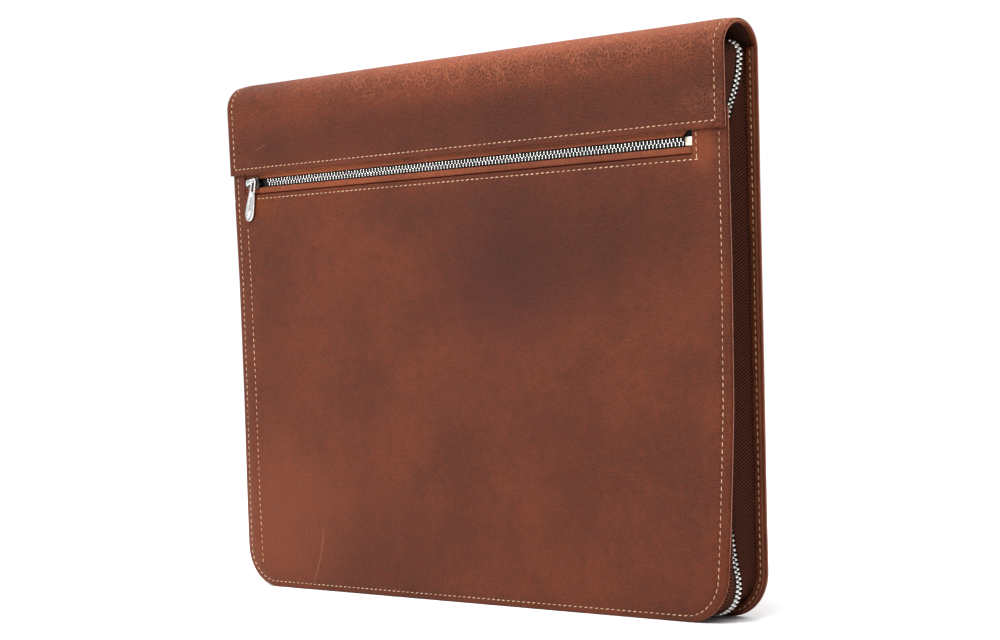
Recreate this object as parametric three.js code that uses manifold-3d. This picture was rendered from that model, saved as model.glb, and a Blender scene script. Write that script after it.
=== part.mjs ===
// Leather document case, standing upright on its bottom edges.
// Millimetres. +X runs right along the width, -Y is the front, +Z is up.
// One leather piece makes the back panel, the round spine and the band down the front.
// A front panel hangs under the band, and a zip runs round the three open sides.

import * as THREE from 'three';
import { mergeVertices } from 'three/addons/utils/BufferGeometryUtils.js';
import Module from 'manifold-3d';

// Overall size
const CASE_WIDTH = 368;
const CASE_HEIGHT = 296;
const CASE_DEPTH = 31;
const SIDE_TAPER = 5.6;
const CORNER_RADIUS = 24;

// Leather and how pieces sit together
const LEATHER = 2.2;
const SEAT_GAP = 0.3;

// Margins that roll in towards the zip, and how far the front stands out near the bottom
const ROLL_REACH = 12;
const FRONT_ROLL = 2.6;
const BACK_ROLL = 1.5;
const FRONT_SPREAD = 4.4;

// Front band
const BAND_DROP = 54;
const BAND_OVERLAP = 10;

// Facing sewn inside the back panel's margin
const FACING_WIDTH = 4.8;
const FACING_LEATHER = 1.9;
const FACING_SET_BACK = 0.7;
const FACING_RISE = 1.5;

// Main zip
const TAPE_THICKNESS = 1;
const TAPE_GAP = 0.5;
const TAPE_SEW_INSET = 2.4;
const TAPE_FLANGE = 4;
const MAIN_CHAIN_WIDTH = 4.7;
const MAIN_CHAIN_THICKNESS = 2.2;
const MAIN_CHAIN_INSET = 13;
const MAIN_CHAIN_LEAN = 3;
const CURL_RADIUS = 12;
const CURL_DROP = 3;
const MAIN_SLIDER_LENGTH = 12;
const MAIN_SLIDER_DROP = 4.5;
const MAIN_PULL_LENGTH = 24;
const MAIN_PULL_DROP = 2;
const MAIN_SLIDER_THICKNESS = 2.8;
const MAIN_SLIDER_WIDTH = 5.8;
const METAL_JOIN = 0.2;

// Pocket slot and its zip
const SLOT_LEFT_MARGIN = 12.2;
const SLOT_RIGHT_MARGIN = 22.5;
const SLOT_DROP = 11.9;
const SLOT_OVERLAP = 3.2;
const TEETH_DROP = 5.2;
const TEETH_WIDTH = 4.6;
const TEETH_THICKNESS = 2;
const TEETH_START = 17.8;
const TOOTH_PITCH = 2.38;
const TOOTH_DEPTH = 1.3;
const LIP_LEATHER = 1.3;
const LIP_LIFT = 1.2;
const LIP_HEM = 5.5;
const LIP_SLANT_LOW = 6.5;
const LIP_SLANT_HIGH = 0.5;
const STOP_LENGTH = 4.8;
const STOP_PROUD = 0.5;

// Pocket slider and pull
const SLIDER_SHY = 0.5;
const SLIDER_LENGTH = 11.4;
const SLIDER_HEIGHT = 6.8;
const SLIDER_PLATE = 1.1;
const SLIDER_NOSE = 3.4;
const SLIDER_NOSE_HEIGHT = 3.8;
const SLIDER_CORNER = 1;
const STEM_LEFT_INSET = 1.5;
const STEM_RIGHT_INSET = 0.5;
const BRIDGE_HEIGHT = 3;
const BRIDGE_CLEARANCE = 2;
const BRIDGE_METAL = 1;
const BRIDGE_RISE = 1;
const BRIDGE_INSET = 3.2;
const FOOT_WIDTH = 1.2;
const POST_INSET = 2.6;
const POST_RADIUS = 0.65;
const PULL_LENGTH = 25.8;
const PULL_THICKNESS = 1.2;
const PULL_TOP_WIDTH = 4.1;
const PULL_WIDE = 7.2;
const PULL_WINDOW = 6.4;
const PULL_SLANT = 13.5;

// Places worked out from the sizes above
const HALF_DEPTH = CASE_DEPTH / 2;
const SPINE_LEVEL = CASE_HEIGHT - HALF_DEPTH;
const SPINE_HOLLOW = HALF_DEPTH - LEATHER;
const BAND_BOTTOM = CASE_HEIGHT - BAND_DROP;
const PANEL_TOP = BAND_BOTTOM + BAND_OVERLAP;
const PANEL_FRONT = -HALF_DEPTH + LEATHER + SEAT_GAP;
const PANEL_BACK = PANEL_FRONT + LEATHER;
const SLOT_LEFT = -CASE_WIDTH / 2 + SLOT_LEFT_MARGIN;
const SLOT_RIGHT = CASE_WIDTH / 2 - SLOT_RIGHT_MARGIN;
const SLOT_BOTTOM = BAND_BOTTOM - SLOT_DROP;
const TEETH_CENTRE = BAND_BOTTOM - TEETH_DROP;
const TEETH_LEFT = SLOT_LEFT + TEETH_START;
const TEETH_RIGHT = SLOT_RIGHT - STOP_LENGTH - 2 * SEAT_GAP;
const MAIN_SLIDER_TOP = SPINE_LEVEL - MAIN_SLIDER_DROP;

const wasm = await Module();
wasm.setup();

const leather = new THREE.MeshStandardMaterial({ color: 0x7a452f, roughness: 0.62, metalness: 0 });
const edgeLeather = new THREE.MeshStandardMaterial({ color: 0x6b3a27, roughness: 0.7, metalness: 0 });
const twill = new THREE.MeshStandardMaterial({ color: 0x3a211a, roughness: 0.9, metalness: 0 });
const blackTape = new THREE.MeshStandardMaterial({ color: 0x16110f, roughness: 0.9, metalness: 0 });
const silver = new THREE.MeshStandardMaterial({ color: 0xd9d9d6, roughness: 0.25, metalness: 1 });

// Side profile by height. Each column is a share of its named size:
// spread of FRONT_SPREAD, frontRoll of FRONT_ROLL, backRoll of BACK_ROLL.
const SIDE_PROFILE = [
  { height: 0.00, spread: 1.00, frontRoll: 0.80, backRoll: 0.9 },
  { height: 0.16, spread: 0.91, frontRoll: 0.95, backRoll: 1.0 },
  { height: 0.37, spread: 0.45, frontRoll: 0.80, backRoll: 0.8 },
  { height: 0.60, spread: 0.10, frontRoll: 0.60, backRoll: 0.7 },
  { height: 0.76, spread: 0.05, frontRoll: 0.40, backRoll: 0.6 },
  { height: 0.81, spread: 0.00, frontRoll: 0.35, backRoll: 0.5 },
  { height: 1.00, spread: 0.00, frontRoll: 0.30, backRoll: 0.4 },
];

// Where the main chain runs: depth inside the outline as a share of MAIN_CHAIN_INSET,
// and how far it leans to the back as a share of MAIN_CHAIN_LEAN.
// On the photographed right side it comes out to the edge near the top and at the corner.
const CHAIN_RIGHT = [
  { height: 0.00, depth: 0.20, lean: 0.4 },
  { height: 0.05, depth: 0.60, lean: 0.4 },
  { height: 0.10, depth: 0.86, lean: 0.4 },
  { height: 0.16, depth: 1.06, lean: 0.3 },
  { height: 0.30, depth: 1.12, lean: 0.2 },
  { height: 0.78, depth: 1.05, lean: 0.2 },
  { height: 0.82, depth: 0.96, lean: 0.4 },
  { height: 0.85, depth: 0.84, lean: 0.7 },
  { height: 0.88, depth: 0.60, lean: 1.0 },
  { height: 0.905, depth: 0.42, lean: 1.0 },
  { height: 0.93, depth: 0.34, lean: 1.0 },
  { height: 1.00, depth: 0.30, lean: 0.8 },
];
const CHAIN_LEFT = [
  { height: 0.00, depth: 0.20, lean: 0.4 },
  { height: 0.05, depth: 0.46, lean: 0.4 },
  { height: 0.10, depth: 0.66, lean: 0.4 },
  { height: 0.16, depth: 0.90, lean: 0.3 },
  { height: 0.30, depth: 1.00, lean: 0.2 },
  { height: 1.00, depth: 1.00, lean: 0.2 },
];

// Value of one column of a table at a height, along straight lines between its rows
function readTable(table, height, column) {
  const share = Math.min(1, Math.max(0, height / CASE_HEIGHT));
  const next = Math.max(1, table.findIndex((row) => row.height >= share));
  const low = table[next - 1];
  const high = table[next];
  const between = (share - low.height) / (high.height - low.height);
  return low[column] + (high[column] - low[column]) * between;
}

// Half width of the straight side at a height
function sideHalfWidth(z) {
  return CASE_WIDTH / 2 - SIDE_TAPER * (1 - Math.min(z, CASE_HEIGHT) / CASE_HEIGHT);
}

const CORNER_X = sideHalfWidth(CORNER_RADIUS) - CORNER_RADIUS;

// Half width of the outline at a height, with the bottom corners rounded
function outlineHalfWidth(z) {
  if (z >= CORNER_RADIUS) {
    return sideHalfWidth(z);
  }
  return CORNER_X + Math.sqrt(CORNER_RADIUS ** 2 - (CORNER_RADIUS - z) ** 2);
}

// How far a point lies inside the three open sides of the outline
function insetOf(x, z) {
  const past = Math.abs(x) - CORNER_X;
  if (z < CORNER_RADIUS && past > 0) {
    return CORNER_RADIUS - Math.hypot(past, CORNER_RADIUS - z);
  }
  return Math.min(sideHalfWidth(z) - Math.abs(x), z);
}

// Share of a margin's roll that is left at an inset
function rollShare(inset) {
  return Math.max(0, 1 - Math.max(0, inset) / ROLL_REACH) ** 2;
}

function frontRollAt(inset, z) {
  return FRONT_ROLL * readTable(SIDE_PROFILE, z, 'frontRoll') * rollShare(inset);
}

function backRollAt(inset, z) {
  return BACK_ROLL * readTable(SIDE_PROFILE, z, 'backRoll') * rollShare(inset);
}

function panelFrontAt(z) {
  return PANEL_FRONT - FRONT_SPREAD * readTable(SIDE_PROFILE, z, 'spread');
}

// Inner half depth under the round spine
function hollowAt(z) {
  const above = Math.max(0, z - SPINE_LEVEL);
  return Math.sqrt(Math.max(0, SPINE_HOLLOW ** 2 - above ** 2));
}

// Heights between which the front tape steps out from the panel's back to the band's
const STEP_BOTTOM = PANEL_TOP + TAPE_GAP;
const STEP_TOP = STEP_BOTTOM + LEATHER * 2;

// Inner face of whatever leather covers the front margin: the panel, and above it the band
function frontInnerAt(inset, z) {
  const behindPanel = panelFrontAt(z) + LEATHER;
  const step = Math.min(1, Math.max(0, (z - STEP_BOTTOM) / (STEP_TOP - STEP_BOTTOM)));
  return behindPanel + (-hollowAt(z) - behindPanel) * step + frontRollAt(inset, z);
}

function backInnerAt(inset, z) {
  return hollowAt(z) - backRollAt(inset, z);
}

// Solid body from a closed set of points and triangles
function bodyOf(points, triangles) {
  const geometry = new THREE.BufferGeometry();
  geometry.setAttribute('position', new THREE.Float32BufferAttribute(points.flat(), 3));
  geometry.setIndex(triangles.flat());
  return geometry;
}

// A leather sheet: rows of outer and inner points, closed round its four edges
function sheetBody(rows) {
  const across = rows[0].outer.length;
  const points = [...rows.flatMap((row) => row.outer), ...rows.flatMap((row) => row.inner)];
  const innerStart = rows.length * across;
  const at = (row, column, side) => side * innerStart + row * across + column;
  const triangles = [];
  const quad = (a, b, c, d) => triangles.push([a, b, c], [a, c, d]);
  for (let r = 0; r < rows.length - 1; r += 1) {
    for (let c = 0; c < across - 1; c += 1) {
      quad(at(r, c, 0), at(r, c + 1, 0), at(r + 1, c + 1, 0), at(r + 1, c, 0));
      quad(at(r, c, 1), at(r + 1, c, 1), at(r + 1, c + 1, 1), at(r, c + 1, 1));
    }
    const end = across - 1;
    quad(at(r, 0, 0), at(r + 1, 0, 0), at(r + 1, 0, 1), at(r, 0, 1));
    quad(at(r, end, 0), at(r, end, 1), at(r + 1, end, 1), at(r + 1, end, 0));
  }
  const last = rows.length - 1;
  for (let c = 0; c < across - 1; c += 1) {
    quad(at(0, c, 0), at(0, c, 1), at(0, c + 1, 1), at(0, c + 1, 0));
    quad(at(last, c, 0), at(last, c + 1, 0), at(last, c + 1, 1), at(last, c, 1));
  }
  return bodyOf(points, triangles);
}

// Columns of a sheet: close together over the rolled margins, even across the middle
const MARGIN_STEPS = [0, 0.17, 0.38, 0.65, 1];
const MIDDLE_PARTS = 4;

function columnsAcross(halfWidth) {
  const right = MARGIN_STEPS.map((share) => halfWidth - share * ROLL_REACH);
  const inner = halfWidth - ROLL_REACH;
  const columns = right.map((x) => -x);
  for (let part = 1; part < MIDDLE_PARTS; part += 1) {
    columns.push(-inner + (2 * inner * part) / MIDDLE_PARTS);
  }
  return [...columns, ...right.reverse()];
}

// Heights of the rows round the bottom corners
const CORNER_PARTS = 6;
const CORNER_LEVELS = Array.from({ length: CORNER_PARTS + 1 }, (_, part) => {
  return CORNER_RADIUS * (1 - Math.cos((part / CORNER_PARTS) * (Math.PI / 2)));
});

// Heights above the corners, as shares of the height, where the profile table turns
const SIDE_LEVELS = SIDE_PROFILE.map((row) => row.height * CASE_HEIGHT);

function levelsBetween(low, high) {
  return SIDE_LEVELS.filter((z) => z > low + LEATHER && z < high - LEATHER);
}

function frontPanelBody() {
  const levels = [...CORNER_LEVELS, ...levelsBetween(CORNER_RADIUS, PANEL_TOP), PANEL_TOP];
  const rows = levels.map((z) => {
    const outer = columnsAcross(outlineHalfWidth(z)).map((x) => {
      return [x, panelFrontAt(z) + frontRollAt(insetOf(x, z), z), z];
    });
    return { outer, inner: outer.map(([x, y]) => [x, y + LEATHER, z]) };
  });
  return cutBody(sheetBody(rows), slotCutter());
}

// Parts of the half circle over the spine
const SPINE_PARTS = 12;

// The leather wrap from the band's edge, over the spine and down the back
function outerWrapBody() {
  const rows = [];
  const addRow = (y, z, normalY, normalZ, halfWidth, rollAt) => {
    const outer = columnsAcross(halfWidth).map((x) => {
      const roll = rollAt(x);
      return [x, y - normalY * roll, z - normalZ * roll];
    });
    const inner = outer.map(([x, py, pz]) => [x, py - normalY * LEATHER, pz - normalZ * LEATHER]);
    rows.push({ outer, inner });
  };
  const frontLevels = [BAND_BOTTOM, ...levelsBetween(BAND_BOTTOM, SPINE_LEVEL)];
  for (const z of frontLevels) {
    const halfWidth = sideHalfWidth(z);
    addRow(-HALF_DEPTH, z, -1, 0, halfWidth, (x) => frontRollAt(halfWidth - Math.abs(x), z));
  }
  for (let part = 0; part <= SPINE_PARTS; part += 1) {
    const angle = (part / SPINE_PARTS) * Math.PI;
    const normalY = -Math.cos(angle);
    const normalZ = Math.sin(angle);
    const z = SPINE_LEVEL + HALF_DEPTH * normalZ;
    const halfWidth = CASE_WIDTH / 2;
    const back = part / SPINE_PARTS;
    addRow(HALF_DEPTH * normalY, z, normalY, normalZ, halfWidth, (x) => {
      const inset = halfWidth - Math.abs(x);
      return frontRollAt(inset, SPINE_LEVEL) * (1 - back) + backRollAt(inset, SPINE_LEVEL) * back;
    });
  }
  const backLevels = [...CORNER_LEVELS, ...levelsBetween(CORNER_RADIUS, SPINE_LEVEL)].reverse();
  for (const z of backLevels) {
    addRow(HALF_DEPTH, z, 1, 0, outlineHalfWidth(z), (x) => backRollAt(insetOf(x, z), z));
  }
  return sheetBody(rows);
}

const CHAIN_LEVELS = CHAIN_RIGHT.map((row) => row.height * CASE_HEIGHT);

// Angles of the chain's last stations, where it curls in under the spine
const CURL_DEGREES = [72, 50, 25];

// Stations round the three open sides, from the top right, down and round to the top left.
// Each has a point on the outline, the way inwards, and how deep the chain lies.
function edgeStations({ top, curl }) {
  const stations = [];
  const curlX = CASE_WIDTH / 2 - CURL_RADIUS;
  const curlZ = SPINE_LEVEL - CURL_DROP;
  const addPoint = (x, z, inX, inZ, table) => {
    const chain = MAIN_CHAIN_INSET * readTable(table, z, 'depth');
    const lean = MAIN_CHAIN_LEAN * readTable(table, z, 'lean');
    stations.push({ x, z, inX, inZ, chain, middle: gussetMiddleAt(z) + lean });
  };
  if (curl) {
    for (const degrees of CURL_DEGREES) {
      const angle = THREE.MathUtils.degToRad(degrees);
      const z = curlZ + CURL_RADIUS * Math.sin(angle);
      addPoint(curlX + CURL_RADIUS * Math.cos(angle), z, -Math.cos(angle), -Math.sin(angle), CHAIN_RIGHT);
    }
  }
  const sideLevels = [...new Set([top, STEP_TOP, STEP_BOTTOM, ...CHAIN_LEVELS, ...SIDE_LEVELS])]
    .filter((z) => z <= top && z > CORNER_RADIUS + LEATHER)
    .sort((a, b) => b - a);
  for (const z of sideLevels) {
    addPoint(sideHalfWidth(z), z, -1, 0, CHAIN_RIGHT);
  }
  for (const side of [1, -1]) {
    const turns = Array.from({ length: CORNER_PARTS + 1 }, (_, part) => part / CORNER_PARTS);
    for (const turn of side > 0 ? turns : turns.reverse()) {
      const angle = turn * (Math.PI / 2);
      const x = side * (CORNER_X + CORNER_RADIUS * Math.cos(angle));
      const z = CORNER_RADIUS * (1 - Math.sin(angle));
      const table = side > 0 ? CHAIN_RIGHT : CHAIN_LEFT;
      addPoint(x, z, -side * Math.cos(angle), Math.sin(angle), table);
    }
  }
  for (const z of [...sideLevels].reverse()) {
    addPoint(-sideHalfWidth(z), z, 1, 0, CHAIN_LEFT);
  }
  return stations;
}

// Sweep closed sections of inset and depth along the stations, with a flat cap at each end
function edgeSweep(stations, sectionAt) {
  const rings = stations.map((station) => sectionAt(station).map(([inset, y]) => {
    return [station.x + station.inX * inset, y, station.z + station.inZ * inset];
  }));
  const around = rings[0].length;
  const triangles = [];
  for (let r = 0; r < rings.length - 1; r += 1) {
    for (let k = 0; k < around; k += 1) {
      const next = (k + 1) % around;
      const a = r * around + k;
      const b = r * around + next;
      triangles.push([a, b, b + around], [a, b + around, a + around]);
    }
  }
  const lastStart = (rings.length - 1) * around;
  const capAt = (station) => {
    const section = sectionAt(station).map(([inset, y]) => new THREE.Vector2(inset, y));
    const faces = THREE.ShapeUtils.triangulateShape(section, []);
    return THREE.ShapeUtils.isClockWise(section) ? faces.map(([a, b, c]) => [c, b, a]) : faces;
  };
  for (const [a, b, c] of capAt(stations[0])) {
    triangles.push([c, b, a]);
  }
  for (const [a, b, c] of capAt(stations.at(-1))) {
    triangles.push([lastStart + a, lastStart + b, lastStart + c]);
  }
  return outward(bodyOf(rings.flat(), triangles));
}

// Turn every face over if the body came out inside out
function outward(geometry) {
  const place = geometry.getAttribute('position');
  const index = geometry.getIndex();
  const [a, b, c] = [new THREE.Vector3(), new THREE.Vector3(), new THREE.Vector3()];
  let volume = 0;
  for (let i = 0; i < index.count; i += 3) {
    a.fromBufferAttribute(place, index.getX(i));
    b.fromBufferAttribute(place, index.getX(i + 1));
    c.fromBufferAttribute(place, index.getX(i + 2));
    volume += a.dot(b.cross(c));
  }
  if (volume < 0) {
    for (let i = 0; i < index.count; i += 3) {
      const first = index.getX(i);
      index.setX(i, index.getX(i + 2));
      index.setX(i + 2, first);
    }
  }
  return geometry;
}

// Outline of a strip of even thickness along a line of section points
function stripSection(line, thickness) {
  const sides = { left: [], right: [] };
  line.forEach((point, i) => {
    const here = new THREE.Vector2(...point);
    const before = i > 0 ? here.clone().sub(new THREE.Vector2(...line[i - 1])).normalize() : null;
    const after = i < line.length - 1 ? new THREE.Vector2(...line[i + 1]).sub(here).normalize() : null;
    const along = (before ?? after).clone().add(after ?? before).normalize();
    const across = new THREE.Vector2(-along.y, along.x);
    const corner = before && after ? Math.max(0.5, along.dot(after)) : 1;
    const reach = thickness / 2 / corner;
    sides.left.push([here.x + across.x * reach, here.y + across.y * reach]);
    sides.right.push([here.x - across.x * reach, here.y - across.y * reach]);
  });
  return [...sides.left, ...sides.right.reverse()];
}

// Middle of the gusset between the two margins
function gussetMiddleAt(z) {
  const lower = Math.min(z, PANEL_TOP);
  return (frontInnerAt(ROLL_REACH, lower) + backInnerAt(ROLL_REACH, lower)) / 2;
}

// Shares of the way to the chain at a tape's turn and at its slack
const TURN_SHARE = 0.16;
const SLACK_RUN = 0.4;
const SLACK_SHARE = 0.48;

// A tape lies flat under its margin, turns at the flange's end, and runs to the chain
function tapeLine(station, margin, inward) {
  const flangeStart = margin.start;
  const flangeEnd = flangeStart + margin.width;
  const seat = (inset) => margin.faceAt(inset, station.z) + inward * (TAPE_GAP + TAPE_THICKNESS / 2);
  const chainSide = station.middle - inward * (MAIN_CHAIN_WIDTH / 2 + TAPE_GAP);
  const turnEnd = flangeEnd + TAPE_THICKNESS;
  const gap = chainSide - seat(flangeEnd);
  return [
    [flangeStart, seat(flangeStart)],
    [flangeEnd, seat(flangeEnd)],
    [turnEnd, seat(flangeEnd) + gap * TURN_SHARE],
    [turnEnd + (station.chain - turnEnd) * SLACK_RUN, seat(flangeEnd) + gap * SLACK_SHARE],
    [station.chain, chainSide],
  ];
}

const FRONT_MARGIN = { start: TAPE_SEW_INSET, width: TAPE_FLANGE, faceAt: frontInnerAt };
const BACK_MARGIN = {
  start: FACING_SET_BACK + FACING_WIDTH + SEAT_GAP,
  width: TAPE_THICKNESS,
  faceAt: backInnerAt,
};

function gussetTapeBody(margin, inward) {
  const stations = edgeStations({ top: SPINE_LEVEL - CURL_DROP, curl: true });
  return edgeSweep(stations, (station) => stripSection(tapeLine(station, margin, inward), TAPE_THICKNESS));
}

// Plain bar that holds the closed chain's two rows of teeth
function mainChainBody() {
  const sliderBottom = MAIN_SLIDER_TOP - MAIN_SLIDER_LENGTH;
  const stations = edgeStations({ top: SPINE_LEVEL - CURL_DROP, curl: true });
  const open = stations.filter((station) => station.x > 0 || station.z < sliderBottom - SEAT_GAP);
  const end = { ...open.at(-1), x: -sideHalfWidth(sliderBottom), z: sliderBottom - SEAT_GAP };
  const halfWidth = MAIN_CHAIN_WIDTH / 2;
  const halfThick = MAIN_CHAIN_THICKNESS / 2;
  const ease = MAIN_CHAIN_THICKNESS / 4;
  return edgeSweep([...open, end], (station) => {
    const { middle } = station;
    return [
      [-halfThick, -halfWidth + ease],
      [-halfThick + ease, -halfWidth],
      [halfThick - ease, -halfWidth],
      [halfThick, -halfWidth + ease],
      [halfThick, halfWidth - ease],
      [halfThick - ease, halfWidth],
      [-halfThick + ease, halfWidth],
      [-halfThick, halfWidth - ease],
    ].map(([inset, y]) => [station.chain + inset, middle + y]);
  });
}

function backFacingBody() {
  const stations = edgeStations({ top: SPINE_LEVEL, curl: false });
  const raised = stations.map((station) => {
    return station.z === SPINE_LEVEL ? { ...station, z: SPINE_LEVEL + FACING_RISE } : station;
  });
  const steps = [0, 0.4, 0.75, 1].map((share) => FACING_SET_BACK + share * FACING_WIDTH);
  return edgeSweep(raised, (station) => {
    const backFace = steps.map((inset) => [inset, backInnerAt(inset, station.z) - SEAT_GAP]);
    const frontFace = backFace.map(([inset, y]) => [inset, y - FACING_LEATHER]).reverse();
    return [...backFace, ...frontFace];
  });
}

// Extrude an outline from a front face back along +Y. The outline's own Y points down.
function plateBody(shape, front, thickness, curveSegments = 5) {
  const settings = { depth: thickness, bevelEnabled: false, curveSegments };
  const geometry = new THREE.ExtrudeGeometry(shape, settings);
  geometry.rotateX(-Math.PI / 2);
  geometry.translate(0, front, 0);
  return geometry;
}

// Extrude a section of depth and height along X
function barBody(section, left, right) {
  const shape = new THREE.Shape(section.map(([y, z]) => new THREE.Vector2(y, z)));
  const geometry = new THREE.ExtrudeGeometry(shape, { depth: right - left, bevelEnabled: false });
  const toCase = new THREE.Matrix4().makeBasis(
    new THREE.Vector3(0, 1, 0),
    new THREE.Vector3(0, 0, 1),
    new THREE.Vector3(1, 0, 0),
  );
  geometry.applyMatrix4(toCase);
  geometry.translate(left, 0, 0);
  return geometry;
}

function blockBody(left, right, front, back, bottom, top) {
  const geometry = new THREE.BoxGeometry(right - left, back - front, top - bottom);
  geometry.translate((left + right) / 2, (front + back) / 2, (bottom + top) / 2);
  return geometry;
}

// Exact joins and cuts
function toManifold(geometry) {
  const plain = geometry.clone();
  plain.deleteAttribute('normal');
  plain.deleteAttribute('uv');
  const merged = mergeVertices(plain);
  const vertProperties = new Float32Array(merged.getAttribute('position').array);
  const triVerts = new Uint32Array(merged.getIndex().array);
  return new wasm.Manifold(new wasm.Mesh({ numProp: 3, vertProperties, triVerts }));
}

function fromManifold(solid) {
  const mesh = solid.getMesh();
  const geometry = new THREE.BufferGeometry();
  geometry.setAttribute('position', new THREE.Float32BufferAttribute(mesh.vertProperties, 3));
  geometry.setIndex(Array.from(mesh.triVerts));
  return geometry;
}

function cutBody(geometry, ...cutters) {
  const whole = toManifold(geometry);
  return fromManifold(cutters.reduce((left, cutter) => left.subtract(toManifold(cutter)), whole));
}

function joinBodies(...geometries) {
  return fromManifold(geometries.map(toManifold).reduce((sum, piece) => sum.add(piece)));
}

function slotCutter() {
  const reach = CASE_DEPTH;
  return blockBody(SLOT_LEFT, SLOT_RIGHT, -reach, reach, SLOT_BOTTOM, BAND_BOTTOM + SLOT_OVERLAP);
}

// Levels of the pocket's layers behind the slot, front to back
const LIP_FRONT = PANEL_BACK + SEAT_GAP;
const LIP_NOSE_FRONT = PANEL_FRONT + LIP_LIFT;
const TAPE_FRONT = LIP_FRONT + LIP_LEATHER + SEAT_GAP;
const TEETH_BACK = TAPE_FRONT - SEAT_GAP;
const TEETH_FRONT = TEETH_BACK - TEETH_THICKNESS;
const LOWER_LIP_EDGE = TEETH_CENTRE - TEETH_WIDTH / 2 - SEAT_GAP;
const UPPER_LIP_EDGE = TEETH_CENTRE + TEETH_WIDTH / 2 + SEAT_GAP;

// A folded lip: a flat hem behind the panel and a rounded nose that fills the slot beside the teeth.
// Its edge is the level next to the teeth, and away is +1 for a lip above them.
function lipSection(edge, slotEdge, away) {
  const shadow = LEATHER / 4;
  const noseEnd = slotEdge - away * shadow;
  const round = LIP_LEATHER / 3;
  return [
    [LIP_FRONT + LIP_LEATHER, slotEdge + away * LIP_HEM],
    [LIP_FRONT + LIP_LEATHER, edge],
    [LIP_NOSE_FRONT + round, edge],
    [LIP_NOSE_FRONT, edge + away * round],
    [LIP_NOSE_FRONT, noseEnd - away * round],
    [LIP_NOSE_FRONT + round, noseEnd],
    [LIP_FRONT, noseEnd],
    [LIP_FRONT, slotEdge + away * LIP_HEM],
  ];
}

function pocketLipLowerBody() {
  const section = lipSection(LOWER_LIP_EDGE, SLOT_BOTTOM, -1);
  return outward(indexed(barBody(section, SLOT_LEFT + SEAT_GAP, SLOT_RIGHT - SEAT_GAP)));
}

// The upper lip's right end is cut on a slant above the end stop
function pocketLipUpperBody() {
  const slotTop = BAND_BOTTOM + SLOT_OVERLAP;
  const right = SLOT_RIGHT - SEAT_GAP;
  const section = lipSection(UPPER_LIP_EDGE, slotTop, 1);
  const bar = outward(indexed(barBody(section, SLOT_LEFT + SEAT_GAP, right)));
  const past = LIP_LEATHER;
  const wedge = new THREE.Shape([
    new THREE.Vector2(right - LIP_SLANT_LOW, -UPPER_LIP_EDGE + past),
    new THREE.Vector2(right + past, -UPPER_LIP_EDGE + past),
    new THREE.Vector2(right + past, -slotTop - past),
    new THREE.Vector2(right - LIP_SLANT_HIGH, -slotTop - past),
  ].reverse());
  return cutBody(bar, plateBody(wedge, LIP_NOSE_FRONT - past, LIP_FRONT - LIP_NOSE_FRONT + 3 * past));
}

function indexed(geometry) {
  const plain = geometry.clone();
  plain.deleteAttribute('normal');
  plain.deleteAttribute('uv');
  return mergeVertices(plain);
}

function pocketTapeBody() {
  const bottom = SLOT_BOTTOM - LIP_HEM;
  const top = BAND_BOTTOM + SLOT_OVERLAP + LIP_HEM;
  return blockBody(SLOT_LEFT, SLOT_RIGHT, TAPE_FRONT, TAPE_FRONT + TAPE_THICKNESS, bottom, top);
}

// Closed teeth: one bar whose two long edges are cut into teeth that stand in turn
function pocketChainBody() {
  const half = TEETH_WIDTH / 2;
  const root = half - TOOTH_DEPTH;
  const count = Math.floor((TEETH_RIGHT - TEETH_LEFT) / TOOTH_PITCH);
  const edge = (shift) => {
    const points = [];
    for (let tooth = 0; tooth < count; tooth += 1) {
      const left = TEETH_LEFT + shift + tooth * TOOTH_PITCH;
      const right = left + TOOTH_PITCH / 2;
      points.push([left, root], [left, half], [right, half], [right, root]);
    }
    return points;
  };
  const upper = edge(0).map(([x, z]) => new THREE.Vector2(x, -TEETH_CENTRE - z));
  const lower = edge(TOOTH_PITCH / 2).map(([x, z]) => new THREE.Vector2(x, -TEETH_CENTRE + z));
  return plateBody(new THREE.Shape([...upper, ...lower.reverse()]), TEETH_FRONT, TEETH_THICKNESS);
}

function pocketEndStopBody() {
  const left = TEETH_RIGHT + SEAT_GAP;
  const right = left + STOP_LENGTH;
  const half = TEETH_WIDTH / 2;
  const front = TEETH_FRONT - STOP_PROUD;
  return blockBody(left, right, front, TEETH_BACK, TEETH_CENTRE - half, TEETH_CENTRE + half);
}

// Levels of the slider, front to back
const PLATE_BACK = LIP_NOSE_FRONT - SEAT_GAP;
const PLATE_FRONT = PLATE_BACK - SLIDER_PLATE;
const BRIDGE_BACK = PLATE_FRONT - BRIDGE_CLEARANCE;
const BRIDGE_FRONT = BRIDGE_BACK - BRIDGE_METAL;
const BRIDGE_MIDDLE = TEETH_CENTRE + BRIDGE_RISE;
const SLIDER_LEFT = SLOT_LEFT + SLIDER_SHY;
const SLIDER_RIGHT = SLIDER_LEFT + SLIDER_LENGTH;
const POST_X = SLIDER_RIGHT - POST_INSET;

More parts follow.
